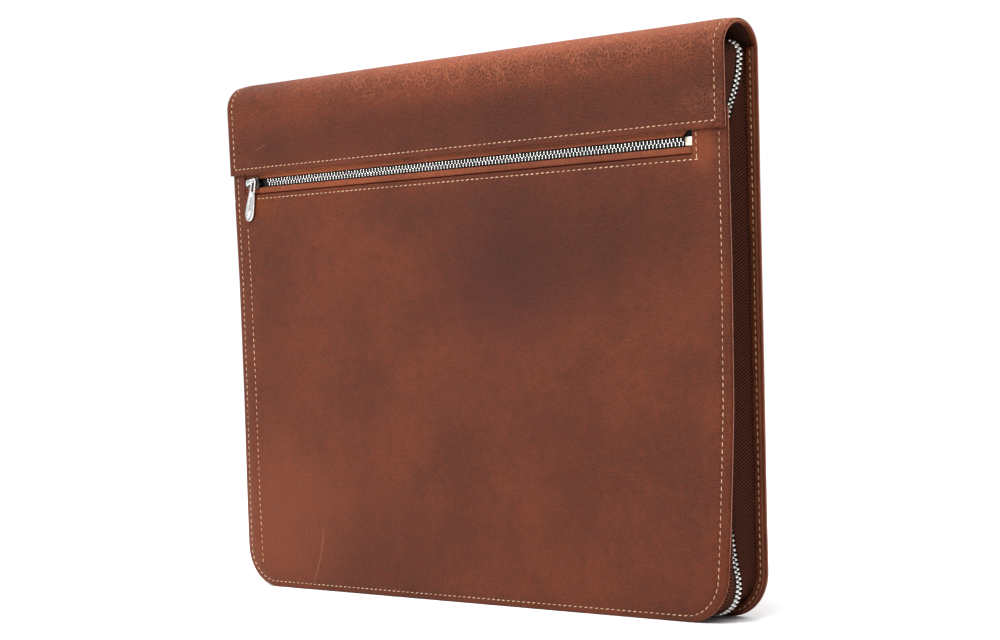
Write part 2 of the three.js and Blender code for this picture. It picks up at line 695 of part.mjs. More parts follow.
// Slider: a shield-shaped plate over the lips, a stem between them, and a bridge on a foot and a post
function pocketSliderBody() {
  const half = SLIDER_HEIGHT / 2;
  const shield = new THREE.Shape();
  const noseHalf = SLIDER_NOSE_HEIGHT / 2;
  shield.moveTo(SLIDER_LEFT, -TEETH_CENTRE - noseHalf);
  shield.lineTo(SLIDER_LEFT + SLIDER_NOSE, -TEETH_CENTRE - half);
  shield.lineTo(SLIDER_RIGHT - SLIDER_CORNER, -TEETH_CENTRE - half);
  shield.lineTo(SLIDER_RIGHT, -TEETH_CENTRE - half + SLIDER_CORNER);
  shield.lineTo(SLIDER_RIGHT, -TEETH_CENTRE + half - SLIDER_CORNER);
  shield.lineTo(SLIDER_RIGHT - SLIDER_CORNER, -TEETH_CENTRE + half);
  shield.lineTo(SLIDER_LEFT + SLIDER_NOSE, -TEETH_CENTRE + half);
  shield.lineTo(SLIDER_LEFT, -TEETH_CENTRE + noseHalf);
  const plate = plateBody(shield, PLATE_FRONT, SLIDER_PLATE);
  const stemHalf = TEETH_WIDTH / 2 - SEAT_GAP;
  const stemLeft = SLIDER_LEFT + STEM_LEFT_INSET;
  const stemRight = SLIDER_RIGHT - STEM_RIGHT_INSET;
  const stemFront = PLATE_BACK - SLIDER_PLATE / 2;
  const stemBottom = TEETH_CENTRE - stemHalf;
  const stemTop = TEETH_CENTRE + stemHalf;
  const stem = blockBody(stemLeft, stemRight, stemFront, TEETH_BACK, stemBottom, stemTop);
  const bottom = BRIDGE_MIDDLE - BRIDGE_HEIGHT / 2;
  const top = BRIDGE_MIDDLE + BRIDGE_HEIGHT / 2;
  const barLeft = SLIDER_LEFT + BRIDGE_INSET;
  const bar = blockBody(barLeft, POST_X + POST_RADIUS, BRIDGE_FRONT, BRIDGE_BACK, bottom, top);
  const innerFront = BRIDGE_BACK - BRIDGE_METAL / 2;
  const innerBack = PLATE_FRONT + SLIDER_PLATE / 2;
  const foot = blockBody(barLeft, barLeft + FOOT_WIDTH, innerFront, innerBack, bottom, BRIDGE_MIDDLE);
  const post = new THREE.CylinderGeometry(POST_RADIUS, POST_RADIUS, innerBack - innerFront, 8);
  post.translate(POST_X, (innerFront + innerBack) / 2, BRIDGE_MIDDLE);
  return joinBodies(plate, stem, bar, foot, post);
}

// Pull tab, drawn hanging straight down from its post, then turned to its slant.
// Rows give the half width along its length: share of PULL_LENGTH, share of half PULL_WIDE.
const PULL_OUTLINE = [
  { along: 0.27, width: 0.62 },
  { along: 0.33, width: 0.70 },
  { along: 0.60, width: 0.92 },
  { along: 0.78, width: 1.00 },
  { along: 0.88, width: 0.93 },
  { along: 0.95, width: 0.66 },
  { along: 1.00, width: 0.20 },
];

// Leaf-shaped slit near the tip, in the same shares
const PULL_SLIT = [
  { along: 0.72, side: 0.14 },
  { along: 0.84, side: 0.28 },
  { along: 0.92, side: -0.11 },
  { along: 0.82, side: 0.06 },
];

function pocketPullBody() {
  const crown = PULL_TOP_WIDTH / 2;
  const reach = PULL_LENGTH - crown;
  const side = PULL_OUTLINE.map(({ along, width }) => [width * (PULL_WIDE / 2), along * reach]);
  const shape = new THREE.Shape();
  shape.moveTo(-crown, 0);
  shape.absarc(0, 0, crown, Math.PI, 2 * Math.PI, false);
  side.forEach(([x, down]) => shape.lineTo(x, down));
  [...side].reverse().forEach(([x, down]) => shape.lineTo(-x, down));
  shape.closePath();
  const slack = POST_RADIUS + SEAT_GAP;
  const window = new THREE.Path();
  window.moveTo(slack, 0);
  window.lineTo(slack, PULL_WINDOW);
  window.lineTo(-slack, PULL_WINDOW);
  window.lineTo(-slack, 0);
  window.absarc(0, 0, slack, Math.PI, 2 * Math.PI, false);
  shape.holes.push(window);
  const slit = new THREE.Path(PULL_SLIT.map(({ side: shift, along }) => {
    return new THREE.Vector2(shift * PULL_WIDE / 2, along * reach);
  }));
  shape.holes.push(slit);
  const front = BRIDGE_BACK + SEAT_GAP;
  const tab = plateBody(shape, front, PULL_THICKNESS, 4);
  tab.rotateY(THREE.MathUtils.degToRad(PULL_SLANT));
  tab.translate(POST_X, 0, BRIDGE_MIDDLE);
  return indexed(tab);
}

// Plain slider of the main zip with its tab, out of sight at the top left
function mainSliderBody() {
  const outside = -sideHalfWidth(MAIN_SLIDER_TOP) + MAIN_CHAIN_INSET;
  const top = MAIN_SLIDER_TOP;
  const bottom = top - MAIN_SLIDER_LENGTH;
  const lean = MAIN_CHAIN_LEAN * readTable(CHAIN_LEFT, top, 'lean');
  const middle = gussetMiddleAt(top) + lean;
  const half = MAIN_CHAIN_WIDTH / 2 - SEAT_GAP;
  const webHalf = MAIN_SLIDER_THICKNESS / 2;
  const web = blockBody(outside - webHalf, outside + webHalf, middle - half, middle + half, bottom, top);
  const wing = MAIN_SLIDER_WIDTH / 2;
  const wingRight = outside - webHalf + METAL_JOIN;
  const wingLeft = outside - webHalf - SLIDER_PLATE;
  const plate = blockBody(wingLeft, wingRight, middle - wing, middle + wing, bottom, top);
  const tabLeft = wingLeft - PULL_THICKNESS;
  const tabTop = top - MAIN_PULL_DROP;
  const tabBottom = top - MAIN_PULL_LENGTH;
  const tab = blockBody(tabLeft, wingLeft + METAL_JOIN, middle - half, middle + half, tabBottom, tabTop);
  return joinBodies(web, plate, tab);
}

const documentCase = new THREE.Group();

function addPiece(name, geometry, material) {
  const piece = new THREE.Mesh(geometry, material);
  piece.name = name;
  documentCase.add(piece);
}

addPiece('outer_wrap', outward(outerWrapBody()), leather);
addPiece('front_panel', frontPanelBody(), leather);
addPiece('back_facing', backFacingBody(), edgeLeather);
addPiece('gusset_tape_front', gussetTapeBody(FRONT_MARGIN, 1), twill);
addPiece('gusset_tape_back', gussetTapeBody(BACK_MARGIN, -1), twill);
addPiece('main_chain', mainChainBody(), silver);
addPiece('main_slider', mainSliderBody(), silver);
addPiece('pocket_lip_upper', pocketLipUpperBody(), edgeLeather);
addPiece('pocket_lip_lower', pocketLipLowerBody(), edgeLeather);
addPiece('pocket_tape', pocketTapeBody(), blackTape);
addPiece('pocket_chain', pocketChainBody(), silver);
addPiece('pocket_end_stop', pocketEndStopBody(), silver);
addPiece('pocket_slider', pocketSliderBody(), silver);
addPiece('pocket_pull', pocketPullBody(), silver);

// The origin is the middle of the whole depth, which the front's spread makes uneven
const bounds = new THREE.Box3().setFromObject(documentCase);
documentCase.position.y = -(bounds.min.y + bounds.max.y) / 2;

export default documentCase;
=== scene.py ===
"""Leather document case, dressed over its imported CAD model.

Sizes below are millimetres in the case's own frame: +X right, -Y front, +Z up.
Meshes are made in millimetres and turned into metres where each object is made.
"""

import math

import bpy
from mathutils import Matrix, Vector


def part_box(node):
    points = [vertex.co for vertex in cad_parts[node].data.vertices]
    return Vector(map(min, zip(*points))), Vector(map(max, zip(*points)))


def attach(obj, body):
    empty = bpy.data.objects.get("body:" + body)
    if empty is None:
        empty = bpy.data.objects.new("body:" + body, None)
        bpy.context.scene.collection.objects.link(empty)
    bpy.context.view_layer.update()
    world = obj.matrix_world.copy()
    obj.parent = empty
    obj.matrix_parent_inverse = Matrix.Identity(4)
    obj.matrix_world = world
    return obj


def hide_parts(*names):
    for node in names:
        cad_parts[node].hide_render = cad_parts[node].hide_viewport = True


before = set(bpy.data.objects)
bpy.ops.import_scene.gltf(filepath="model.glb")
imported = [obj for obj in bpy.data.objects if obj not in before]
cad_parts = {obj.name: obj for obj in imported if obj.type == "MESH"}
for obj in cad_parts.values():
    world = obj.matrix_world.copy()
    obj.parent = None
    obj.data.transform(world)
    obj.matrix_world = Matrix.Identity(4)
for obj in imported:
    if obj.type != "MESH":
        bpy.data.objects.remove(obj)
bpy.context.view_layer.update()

MM = 0.001

# Sizes of the CAD model
CASE_WIDTH = 368
CASE_HEIGHT = 296
HALF_DEPTH = 15.5
SIDE_TAPER = 5.6
CORNER_RADIUS = 24
LEATHER = 2.2
GAP = 0.3
ROLL_REACH = 12
FRONT_ROLL = 2.6
BACK_ROLL = 1.5
FRONT_SPREAD = 4.4
SPINE_LEVEL = CASE_HEIGHT - HALF_DEPTH
SPINE_HOLLOW = HALF_DEPTH - LEATHER
BAND_BOTTOM = 242
PANEL_TOP = 252
PANEL_FRONT = -HALF_DEPTH + LEATHER + GAP
TAPE_THICKNESS = 1
TAPE_GAP = 0.5
CHAIN_WIDTH = 4.7
CHAIN_INSET = 13
CHAIN_LEAN = 3
CURL_RADIUS = 12
CURL_DROP = 3
SLOT_LEFT = -171.8
SLOT_RIGHT = 161.5
SLOT_BOTTOM = 230.1
SLOT_TOP = 245.2
TEETH_CENTRE = 236.8
TEETH_WIDTH = 4.6
TEETH_LEFT = -154
TOOTH_PITCH = 2.38
TOOTH_COUNT = 130
LIP_FRONT = -10.5
LIP_NOSE_FRONT = -11.8
TEETH_BACK = -9.2
TEETH_FRONT = -11.2
PLATE_BACK = -12.1
PLATE_FRONT = -13.2
BRIDGE_BACK = -15.2
BRIDGE_FRONT = -16.2
SLIDER_LEFT = -171.3
SLIDER_RIGHT = -159.9
POST_X = -162.5
BRIDGE_MIDDLE = 237.8
BRIDGE_LEFT = -168.1
PULL_SLANT = 13.5
PULL_LENGTH = 25.8
PULL_THICKNESS = 1.2
PULL_CROWN = 2.05
PULL_HALF = 3.6
PULL_SLACK = 0.95
PULL_WINDOW = 6.4
FACING_START = 0.7
FACING_WIDTH = 4.8
FACING_LEATHER = 1.9

# Sizes that only the dressing has
EDGE_ROUND = 0.85
PANEL_SEAM = (4.7, 3.4, 4.7)
WRAP_SEAM = (5.1, 4.2, 5.1)
STITCH_PITCH = 3.6
STITCH_LENGTH = 2.15
STITCH_WIDTH = 0.52
STITCH_HEIGHT = 0.36
STITCH_SLANT = 0.12
GROOVE_DEPTH = 0.3
GROOVE_WIDTH = 0.8
BAND_STITCH = 3.4
SLOT_STITCH = 2.6
RIGHT_STITCH = 3.1
LEFT_LINE_TOP = (-170.4, 213)
LEFT_LINE_LOW = (-163.7, 12.9)
SLOT_LEFT_INSET = 11.1
SLOT_RIGHT_INSET = 21.3
FACING_STITCH = 2.5
TURNED_MARGIN = 2.4
MAIN_SLIDER_FOOT = 263.7
MAIN_ROW = 1.22
MAIN_TOOTH = (0.64, 1.1, 1.05)
POCKET_ROW = 1.0
POCKET_TOOTH = (0.27, 0.24, 1.0)
BRIDGE_SAG = 0.9

# The CAD model's frame puts the middle of the whole depth at zero
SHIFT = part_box("outer_wrap")[0].y / MM + HALF_DEPTH

# Side profile by height, as shares of FRONT_SPREAD, FRONT_ROLL and BACK_ROLL
PROFILE = {
    "height": (0.00, 0.16, 0.37, 0.60, 0.76, 0.81, 1.00),
    "spread": (1.00, 0.91, 0.45, 0.10, 0.05, 0.00, 0.00),
    "front_roll": (0.80, 0.95, 0.80, 0.60, 0.40, 0.35, 0.30),
    "back_roll": (0.90, 1.00, 0.80, 0.70, 0.60, 0.50, 0.40),
}

# How far the panel's lower right margin is drawn in, in millimetres
MARGIN_LEAN = {
    "height": (0.00, 0.03, 0.08, 0.15, 0.25, 0.36, 1.00),
    "lean": (4.6, 4.4, 3.6, 2.2, 1.0, 0.0, 0.0),
}

# Main chain's route: share of CHAIN_INSET, and share of CHAIN_LEAN
CHAIN_RIGHT = {
    "height": (0.00, 0.05, 0.10, 0.16, 0.30, 0.78, 0.82, 0.85, 0.88, 0.905, 0.93, 1.00),
    "depth": (0.20, 0.60, 0.86, 1.06, 1.12, 1.05, 0.96, 0.84, 0.60, 0.42, 0.34, 0.30),
    "lean": (0.4, 0.4, 0.4, 0.3, 0.2, 0.2, 0.4, 0.7, 1.0, 1.0, 1.0, 0.8),
}
CHAIN_LEFT = {
    "height": (0.00, 0.05, 0.10, 0.16, 0.30, 1.00),
    "depth": (0.20, 0.46, 0.66, 0.90, 1.00, 1.00),
    "lean": (0.4, 0.4, 0.4, 0.3, 0.2, 0.2),
}


def read(table, z, column):
    """Value of a table's column at a height, along straight lines between its rows."""
    share = min(1, max(0, z / CASE_HEIGHT))
    heights = table["height"]
    high = next((i for i in range(1, len(heights)) if heights[i] >= share), len(heights) - 1)
    low = high - 1
    part = (share - heights[low]) / (heights[high] - heights[low])
    return table[column][low] + (table[column][high] - table[column][low]) * part


def side_half_width(z):
    return CASE_WIDTH / 2 - SIDE_TAPER * (1 - min(z, CASE_HEIGHT) / CASE_HEIGHT)


CORNER_X = side_half_width(CORNER_RADIUS) - CORNER_RADIUS


def inset_of(x, z):
    """How far a point lies inside the three open sides of the outline."""
    past = abs(x) - CORNER_X
    if z < CORNER_RADIUS and past > 0:
        return CORNER_RADIUS - math.hypot(past, CORNER_RADIUS - z)
    return min(side_half_width(z) - abs(x), z)


def roll_share(inset):
    return max(0, 1 - max(0, inset) / ROLL_REACH) ** 2


def front_roll(inset, z):
    return FRONT_ROLL * read(PROFILE, z, "front_roll") * roll_share(inset)


def back_roll(inset, z):
    return BACK_ROLL * read(PROFILE, z, "back_roll") * roll_share(inset)


def panel_front(z):
    return PANEL_FRONT - FRONT_SPREAD * read(PROFILE, z, "spread")


def hollow(z):
    return math.sqrt(max(0, SPINE_HOLLOW ** 2 - max(0, z - SPINE_LEVEL) ** 2))


STEP_BOTTOM = PANEL_TOP + TAPE_GAP
STEP_TOP = STEP_BOTTOM + 2 * LEATHER


def front_inner(inset, z):
    """Inner face of the leather over the front margin: the panel, and above it the band."""
    behind = panel_front(z) + LEATHER
    step = min(1, max(0, (z - STEP_BOTTOM) / (STEP_TOP - STEP_BOTTOM)))
    return behind + (-hollow(z) - behind) * step + front_roll(inset, z)


def back_inner(inset, z):
    return hollow(z) - back_roll(inset, z)


def gusset_middle(z):
    lower = min(z, PANEL_TOP)
    return (front_inner(ROLL_REACH, lower) + back_inner(ROLL_REACH, lower)) / 2


def smooth(low, high, value):
    """0 below low, 1 above high, and a smooth ramp between."""
    share = min(1, max(0, (value - low) / (high - low)))
    return share * share * (3 - 2 * share)


def wave(x, z, seed=0):
    """Slow uneven swell from -1 to 1 over the leather."""
    return (math.sin(x * 0.021 + seed) * math.cos(z * 0.027 + 1.3 * seed)
            + 0.5 * math.sin(x * 0.047 + z * 0.033 + 2.1 * seed)
            + 0.3 * math.sin(x * 0.013 - z * 0.071 + seed)) / 1.8


# Mesh helpers

def make_piece(name, points, faces, materials, face_materials=None):
    """One object from points in the case's frame in millimetres."""
    mesh = bpy.data.meshes.new(name)
    moved = [(p[0] * MM, (p[1] + SHIFT) * MM, p[2] * MM) for p in points]
    mesh.from_pydata(moved, [], faces)
    for material in materials:
        mesh.materials.append(material)
    if face_materials:
        mesh.polygons.foreach_set("material_index", face_materials)
    mesh.polygons.foreach_set("use_smooth", [True] * len(mesh.polygons))
    mesh.validate()
    mesh.update()
    piece = bpy.data.objects.new(name, mesh)
    bpy.context.scene.collection.objects.link(piece)
    return piece


def settle(piece, body="case", nodes=()):
    """Ride on a body and stand for CAD nodes."""
    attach(piece, body)
    if nodes:
        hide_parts(*nodes)


def slab(name, flat_points, flat_faces, outer, inner, materials):
    """Closed piece from a flat mesh, with an outer and an inner place for each flat point."""
    count = len(flat_points)
    points = [outer(*p) for p in flat_points] + [inner(*p) for p in flat_points]
    faces = [tuple(f) for f in flat_faces]
    kinds = [0] * len(faces)
    faces += [tuple(i + count for i in reversed(f)) for f in flat_faces]
    kinds += [1] * len(flat_faces)
    edges = {pair: True for face in flat_faces for pair in zip(face, face[1:] + face[:1])}
    for a, b in edges:
        if (b, a) not in edges:
            faces.append((b, a, a + count, b + count))
            kinds.append(2)
    return make_piece(name, points, faces, materials, kinds)


def grid_faces(rows, columns):
    starts = [r * columns + c for r in range(rows - 1) for c in range(columns - 1)]
    return [(a, a + 1, a + columns + 1, a + columns) for a in starts]


def strip(name, grid, thickness, materials):
    """Thin closed sheet along a grid of points, half its thickness on each side."""
    rows = len(grid)
    columns = len(grid[0])
    middle = [Vector(p) for row in grid for p in row]
    normals = []
    for r in range(rows):
        for c in range(columns):
            along = middle[min(r + 1, rows - 1) * columns + c] - middle[max(r - 1, 0) * columns + c]
            across = middle[r * columns + min(c + 1, columns - 1)] - middle[r * columns + max(c - 1, 0)]
            normals.append(along.cross(across).normalized())
    indices = [(i,) for i in range(rows * columns)]
    half = thickness / 2
    return slab(name, indices, grid_faces(rows, columns),
                lambda i: middle[i] + normals[i] * half,
                lambda i: middle[i] - normals[i] * half, materials)


AXES = (Vector((1, 0, 0)), Vector((0, 1, 0)), Vector((0, 0, 1)))
BLOCK_SIGNS = [(a, b, c) for a in (-1, 1) for b in (-1, 1) for c in (-1, 1)]


def block_faces():
    """Faces of a box with cut edges, which has three points for each corner."""
    place = {(s, flat): 3 * n + flat for n, s in enumerate(BLOCK_SIGNS) for flat in range(3)}
    faces = []
    for flat in range(3):
        i, j = (flat + 1) % 3, (flat + 2) % 3

        def corner(*signs):
            s = [0, 0, 0]
            s[flat], s[i], s[j] = signs
            return tuple(s)

        for side in (-1, 1):
            ring = [place[(corner(side, a, b), flat)] for a, b in ((-1, -1), (1, -1), (1, 1), (-1, 1))]
            faces.append(ring[::side])
        for a, b in ((-1, -1), (-1, 1), (1, -1), (1, 1)):
            low, high = corner(-1, a, b), corner(1, a, b)
            ring = [place[(low, i)], place[(high, i)], place[(high, j)], place[(low, j)]]
            faces.append(ring[::-a * b])
    for s in BLOCK_SIGNS:
        faces.append([place[(s, flat)] for flat in range(3)][::s[0] * s[1] * s[2]])
    return faces


BLOCK_FACES = block_faces()


class Parts:
    """Gathers many small bodies into one mesh."""

    def __init__(self):
        self.points = []
        self.faces = []

    def add(self, points, faces):
        start = len(self.points)
        self.points += points
        self.faces += [tuple(i + start for i in f) for f in faces]

    def block(self, centre, halves, bevel, axes=AXES):
        """Box with all its edges cut back, along three directions."""
        points = []
        for s in BLOCK_SIGNS:
            for flat in range(3):
                point = Vector(centre)
                for i in range(3):
                    point += axes[i] * (s[i] * (halves[i] - (0 if i == flat else bevel)))
                points.append(point)
        self.add(points, BLOCK_FACES)

    def tube(self, rings):
        """Closed tube through rings of points, with a flat cap at each end."""
        around = len(rings[0])
        faces = []
        for r in range(len(rings) - 1):
            for k in range(around):
                a = r * around + k
                b = r * around + (k + 1) % around
                faces.append((a, b, b + around, a + around))
        last = (len(rings) - 1) * around
        faces.append(tuple(reversed(range(around))))
        faces.append(tuple(range(last, last + around)))
        self.add([p for ring in rings for p in ring], faces)

    def settle(self, name, material, slot=None, nodes=()):
        """Make the one piece, which rides on the case."""
        settle(make_piece(name, self.points, self.faces, [material]), nodes=nodes)


class FlatMesh:
    """Flat points that are joined where they meet, and the faces between them."""

    def __init__(self, digits):
        self.points = []
        self.faces = []
        self.known = {}
        self.digits = digits

    def at(self, point):
        key = tuple(round(value, self.digits) for value in point)
        if key not in self.known:
            self.known[key] = len(self.points)
            self.points.append(point)
        return self.known[key]

    def add_face(self, corners):
        face = list(dict.fromkeys(self.at(corner) for corner in corners))
        if len(face) > 2:
            self.faces.append(tuple(face))


def sweep(name, rings, material, node):
    """Leather strip along rings of points, in the place of a CAD node."""
    parts = Parts()
    parts.tube(rings)
    parts.settle(name, material, "edge_leather", [node])


# Material helpers

class Tree:
    """Adds nodes to a node tree."""

    def __init__(self, tree):
        self.tree = tree

    def feed(self, socket, value):
        if isinstance(value, bpy.types.NodeSocket):
            self.tree.links.new(value, socket)
        else:
            socket.default_value = value

    def add(self, kind, inputs=None, **settings):
        node = self.tree.nodes.new("ShaderNode" + kind)
        for key, value in settings.items():
            setattr(node, key, value)
        for key, value in (inputs or {}).items():
            self.feed(node.inputs[key], value)
        return node

    def math(self, operation, a, b=0.0, clamp=False):
        return self.add("Math", {0: a, 1: b}, operation=operation, use_clamp=clamp).outputs[0]

    def vector(self, operation, a, b=(0, 0, 0)):
        node = self.add("VectorMath", {0: a, 1: b}, operation=operation)
        number = operation in ("LENGTH", "DISTANCE", "DOT_PRODUCT")
        return node.outputs["Value" if number else "Vector"]

    def ramp(self, value, low, high, start=0.0, end=1.0):
        """Smooth ramp of a value from start to end."""
        inputs = {"Value": value, "From Min": low, "From Max": high, "To Min": start, "To Max": end}
        return self.add("MapRange", inputs, interpolation_type="SMOOTHSTEP").outputs["Result"]


class Nodes(Tree):
    """Builds one node material."""

    def __init__(self, name, **shader):
        self.material = bpy.data.materials.new(name)
        self.material.use_nodes = True
        super().__init__(self.material.node_tree)
        self.shader = self.tree.nodes["Principled BSDF"]
        for socket, value in shader.items():
            self.feed(self.shader.inputs[socket.replace("_", " ")], value)
        self.place = self.add("TexCoord").outputs["Object"]

    def noise(self, scale, detail, rough=0.5, place=None, output="Fac"):
        inputs = {"Vector": place or self.place, "Scale": scale, "Detail": detail, "Roughness": rough}
        return self.add("TexNoise", inputs).outputs[output]

    def bands(self, scale, distortion, place, more=None):
        """Diagonal ribs."""
        inputs = {"Vector": place, "Scale": scale, "Distortion": distortion, **(more or {})}
        node = self.add("TexWave", inputs, wave_type="BANDS", bands_direction="DIAGONAL")
        return node.outputs["Fac"]

    def mix(self, share, a, b):
        return self.add("Mix", {0: share, 6: a, 7: b}, data_type="RGBA").outputs[2]

    def spot(self, centre, radii, inner):
        """1 at a place on the case, in millimetres, fading to 0 at the radii."""
        offset = self.vector("SUBTRACT", self.place, tuple(c * MM for c in centre))
        scaled = self.vector("MULTIPLY", offset, tuple(1 / (r * MM) for r in radii))
        return self.ramp(self.vector("LENGTH", scaled), inner, 1, 1, 0)

    def bump(self, height, strength, distance, normal=None):
        inputs = {"Height": height, "Strength": strength, "Distance": distance}
        if normal:
            inputs["Normal"] = normal
        return self.add("Bump", inputs).outputs["Normal"]

    def finish(self, paint, normal=None, rough=None):
        """Feed the shader and give the material back."""
        for socket, value in (("Base Color", paint), ("Normal", normal), ("Roughness", rough)):
            if value:
                self.feed(self.shader.inputs[socket], value)
        return self.material


def colour(red, green, blue):
    """Linear colour from display values of 0 to 255."""
    def straight(value):
        value /= 255
        return value / 12.92 if value <= 0.04045 else ((value + 0.055) / 1.055) ** 2.4
    return (straight(red), straight(green), straight(blue), 1)


def voronoi(nodes, cell, stretch, feature, bend=1.6):
    """Cells of a size in millimetres, bent a little so that they are not regular."""
    warp = nodes.noise(260, 2, output="Color")
    shift = nodes.vector("MULTIPLY", nodes.vector("SUBTRACT", warp, (0.5, 0.5, 0.5)), (bend * MM,) * 3)
    place = nodes.vector("MULTIPLY", nodes.vector("ADD", nodes.place, shift), stretch)
    return nodes.add("TexVoronoi", {"Vector": place, "Scale": 1 / (cell * MM)}, feature=feature)


def wrinkle_height(nodes):
    """Fine ridges that run over the spine and fade down the band, and a few at its right end."""
    border = voronoi(nodes, 1.5, (1.0, 0.55, 0.5), "DISTANCE_TO_EDGE", 0.7).outputs["Distance"]
    broken = nodes.ramp(nodes.noise(90, 3), 0.35, 0.6, 0.65, 1.0)
    top = nodes.spot((60, -6, 292), (330, 30, 30), 0.3)
    right = nodes.spot((172, -15, 256), (34, 20, 18), 0.1)
    share = nodes.math("ADD", top, nodes.math("MULTIPLY", right, 0.6), clamp=True)
    ridge = nodes.math("MULTIPLY", nodes.ramp(border, 0.0, 0.24, 1, 0), broken)
    return nodes.math("MULTIPLY", ridge, share)


def arc_line(nodes, centre, radius, width, spot):
    """Thin line along an arc in the front's plane, seen only near a spot."""
    flat = nodes.vector("MULTIPLY", nodes.place, (1, 0, 1))
    far = nodes.vector("DISTANCE", flat, (centre[0] * MM, 0, centre[1] * MM))
    off = nodes.math("ABSOLUTE", nodes.math("SUBTRACT", far, radius * MM))
    return nodes.math("MULTIPLY", nodes.ramp(off, 0, width * MM, 1, 0), nodes.spot(*spot))


# Strength of the painted highlight on the grain's raised ridges
RIDGE_HIGHLIGHT_SHARE = 0.34

# Places painted lighter or darker, which are stains and also painted light and shade: centre, radii,
# inner share, then strength and shade
STAINS_AND_PAINTED_LIGHT = (
    # real stains: two darker, purplish patches on the front panel's middle
    (((34, -15, 176), (76, 12, 62), 0.0), 0.68, (48, 21, 21)),
    (((-20, -15, 214), (90, 12, 26), 0.0), 0.4, (48, 22, 18)),
    # painted light: the panel's lower left painted lighter, where the floor's bounce lights it
    (((-150, -15, 40), (90, 14, 80), 0.1), 0.35, (112, 56, 34)),
    # painted shade: the panel's upper right painted darker
    (((90, -14, 195), (150, 12, 66), 0.1), 0.52, (50, 21, 11)),
    # darker across the band below the top roll
    (((30, -16, 257), (420, 8, 22), 0.3), 0.44, (42, 17, 9)),
    # painted highlight: an orange patch of light on the panel beside the pull
    (((-155, -14, 223), (15, 8, 10), 0.1), 0.6, (92, 42, 8)),
    # painted light: the upper lip's left part painted lighter, where the light reaches it
    (((-116, -11, 241.5), (54, 3.5, 5), 0.3), 0.5, (140, 74, 38)),
    # painted light: the panel's right end painted lighter, where its margin turns toward the light
    (((168, -14, 232), (11, 8, 16), 0.4), 0.32, (126, 62, 32)),
    # painted highlight: the top roll over the spine painted lighter
    (((60, -4, 294), (270, 14, 15), 0.3), 0.6, (130, 66, 40)),
)

# Thin marks: centre and radius of the arc, width, spot that shows it, then strength and shade
SCARS = (
    (((-183.3, 41.9), 73, 0.8, ((-114, -16, 20), (13, 12, 20), 0.6)), 0.2, (168, 112, 90)),
    (((-173.8, 314), 60.3, 0.4, ((-154, -15, 257), (6, 12, 6), 0.5)), 0.18, (180, 130, 108)),
)



def grain_paint(nodes, tone, pebble, cells, mottle):
    """Uneven colour of the leather, with painted highlights on the raised ridges between its cells."""
    def shade(share):
        return colour(*[min(255, value * share) for value in tone])

    cloud = nodes.noise(17, 4, 0.6)
    paint = nodes.mix(nodes.ramp(cloud, 0.32, 0.68), shade(0.88), shade(1.12))
    paint = nodes.mix(nodes.ramp(cells, 0.25, 0.8, 0.0, 0.25), paint, shade(0.78))
    paint = nodes.mix(nodes.ramp(mottle, 0.5, 0.75, 0.0, 0.32), paint, shade(1.26))
    paint = nodes.mix(nodes.ramp(mottle, 0.3, 0.5, 0.4, 0.0), paint, shade(0.72))
    # painted highlight: the ridges between the cells painted lighter, half as strong below the band
    height = nodes.add("SeparateXYZ", {0: nodes.place}).outputs["Z"]
    share = nodes.ramp(height, BAND_BOTTOM * MM - 0.002, BAND_BOTTOM * MM + 0.002, 0.5, 1.0)
    share = nodes.math("MULTIPLY", nodes.ramp(pebble, 0.0, 0.4, RIDGE_HIGHLIGHT_SHARE, 0.0), share)
    return nodes.mix(share, paint, shade(1.45))


def leather_material(name, tone, relief=0.85):
    """Brown grained leather with uneven colour, stains, painted light and shade in patches, creases with
    painted highlights on their ridges, and thin marks.
    """
    nodes = Nodes(name, Specular_IOR_Level=0.1)
    border, cells = (voronoi(nodes, 1.35, (0.72, 0.9, 1.0), feature).outputs[output]
                     for feature, output in (("DISTANCE_TO_EDGE", "Distance"), ("F1", "Color")))
    pebble = nodes.ramp(border, 0.0, 0.34)
    mottle = nodes.noise(210, 4, 0.65)
    creases = wrinkle_height(nodes)
    paint = grain_paint(nodes, tone, pebble, cells, mottle)
    # stains, and painted light and shade, from the table of patches
    for spot, share, patch_colour in STAINS_AND_PAINTED_LIGHT:
        paint = nodes.mix(nodes.math("MULTIPLY", nodes.spot(*spot), share), paint, colour(*patch_colour))
    # painted highlight: the crease ridges painted lighter, where they catch the light on the top roll
    paint = nodes.mix(nodes.ramp(creases, 0.1, 1.0, 0.0, 0.3), paint, colour(164, 96, 66))
    for line, share, patch_colour in SCARS:
        paint = nodes.mix(nodes.math("MULTIPLY", arc_line(nodes, *line), share), paint, colour(*patch_colour))
    normal = nodes.bump(pebble, relief, -0.00028)
    normal = nodes.bump(nodes.noise(1500, 3), 0.35, 0.0001, normal)
    normal = nodes.bump(creases, 0.5, 0.0004, normal)
    return nodes.finish(paint, normal, nodes.ramp(mottle, 0.2, 0.8, 0.44, 0.6))


def twill_material():
    """Dark brown woven zip tape with diagonal ribs."""
    nodes = Nodes("zip_twill", Roughness=0.88, Specular_IOR_Level=0.1)
    slanted = nodes.vector("MULTIPLY", nodes.place, (0.15, -1.2, 1))
    ribs = nodes.bands(376, 0.6, slanted, {"Detail": 1.0, "Detail Scale": 2.0})
    paint = nodes.mix(nodes.ramp(ribs, 0.15, 0.85), colour(30, 14, 10), colour(86, 44, 30))
    fuzz = nodes.ramp(nodes.noise(900, 2), 0.4, 0.8, 0, 0.4)
    return nodes.finish(nodes.mix(fuzz, paint, colour(30, 15, 12)), nodes.bump(ribs, 0.6, 0.00025))


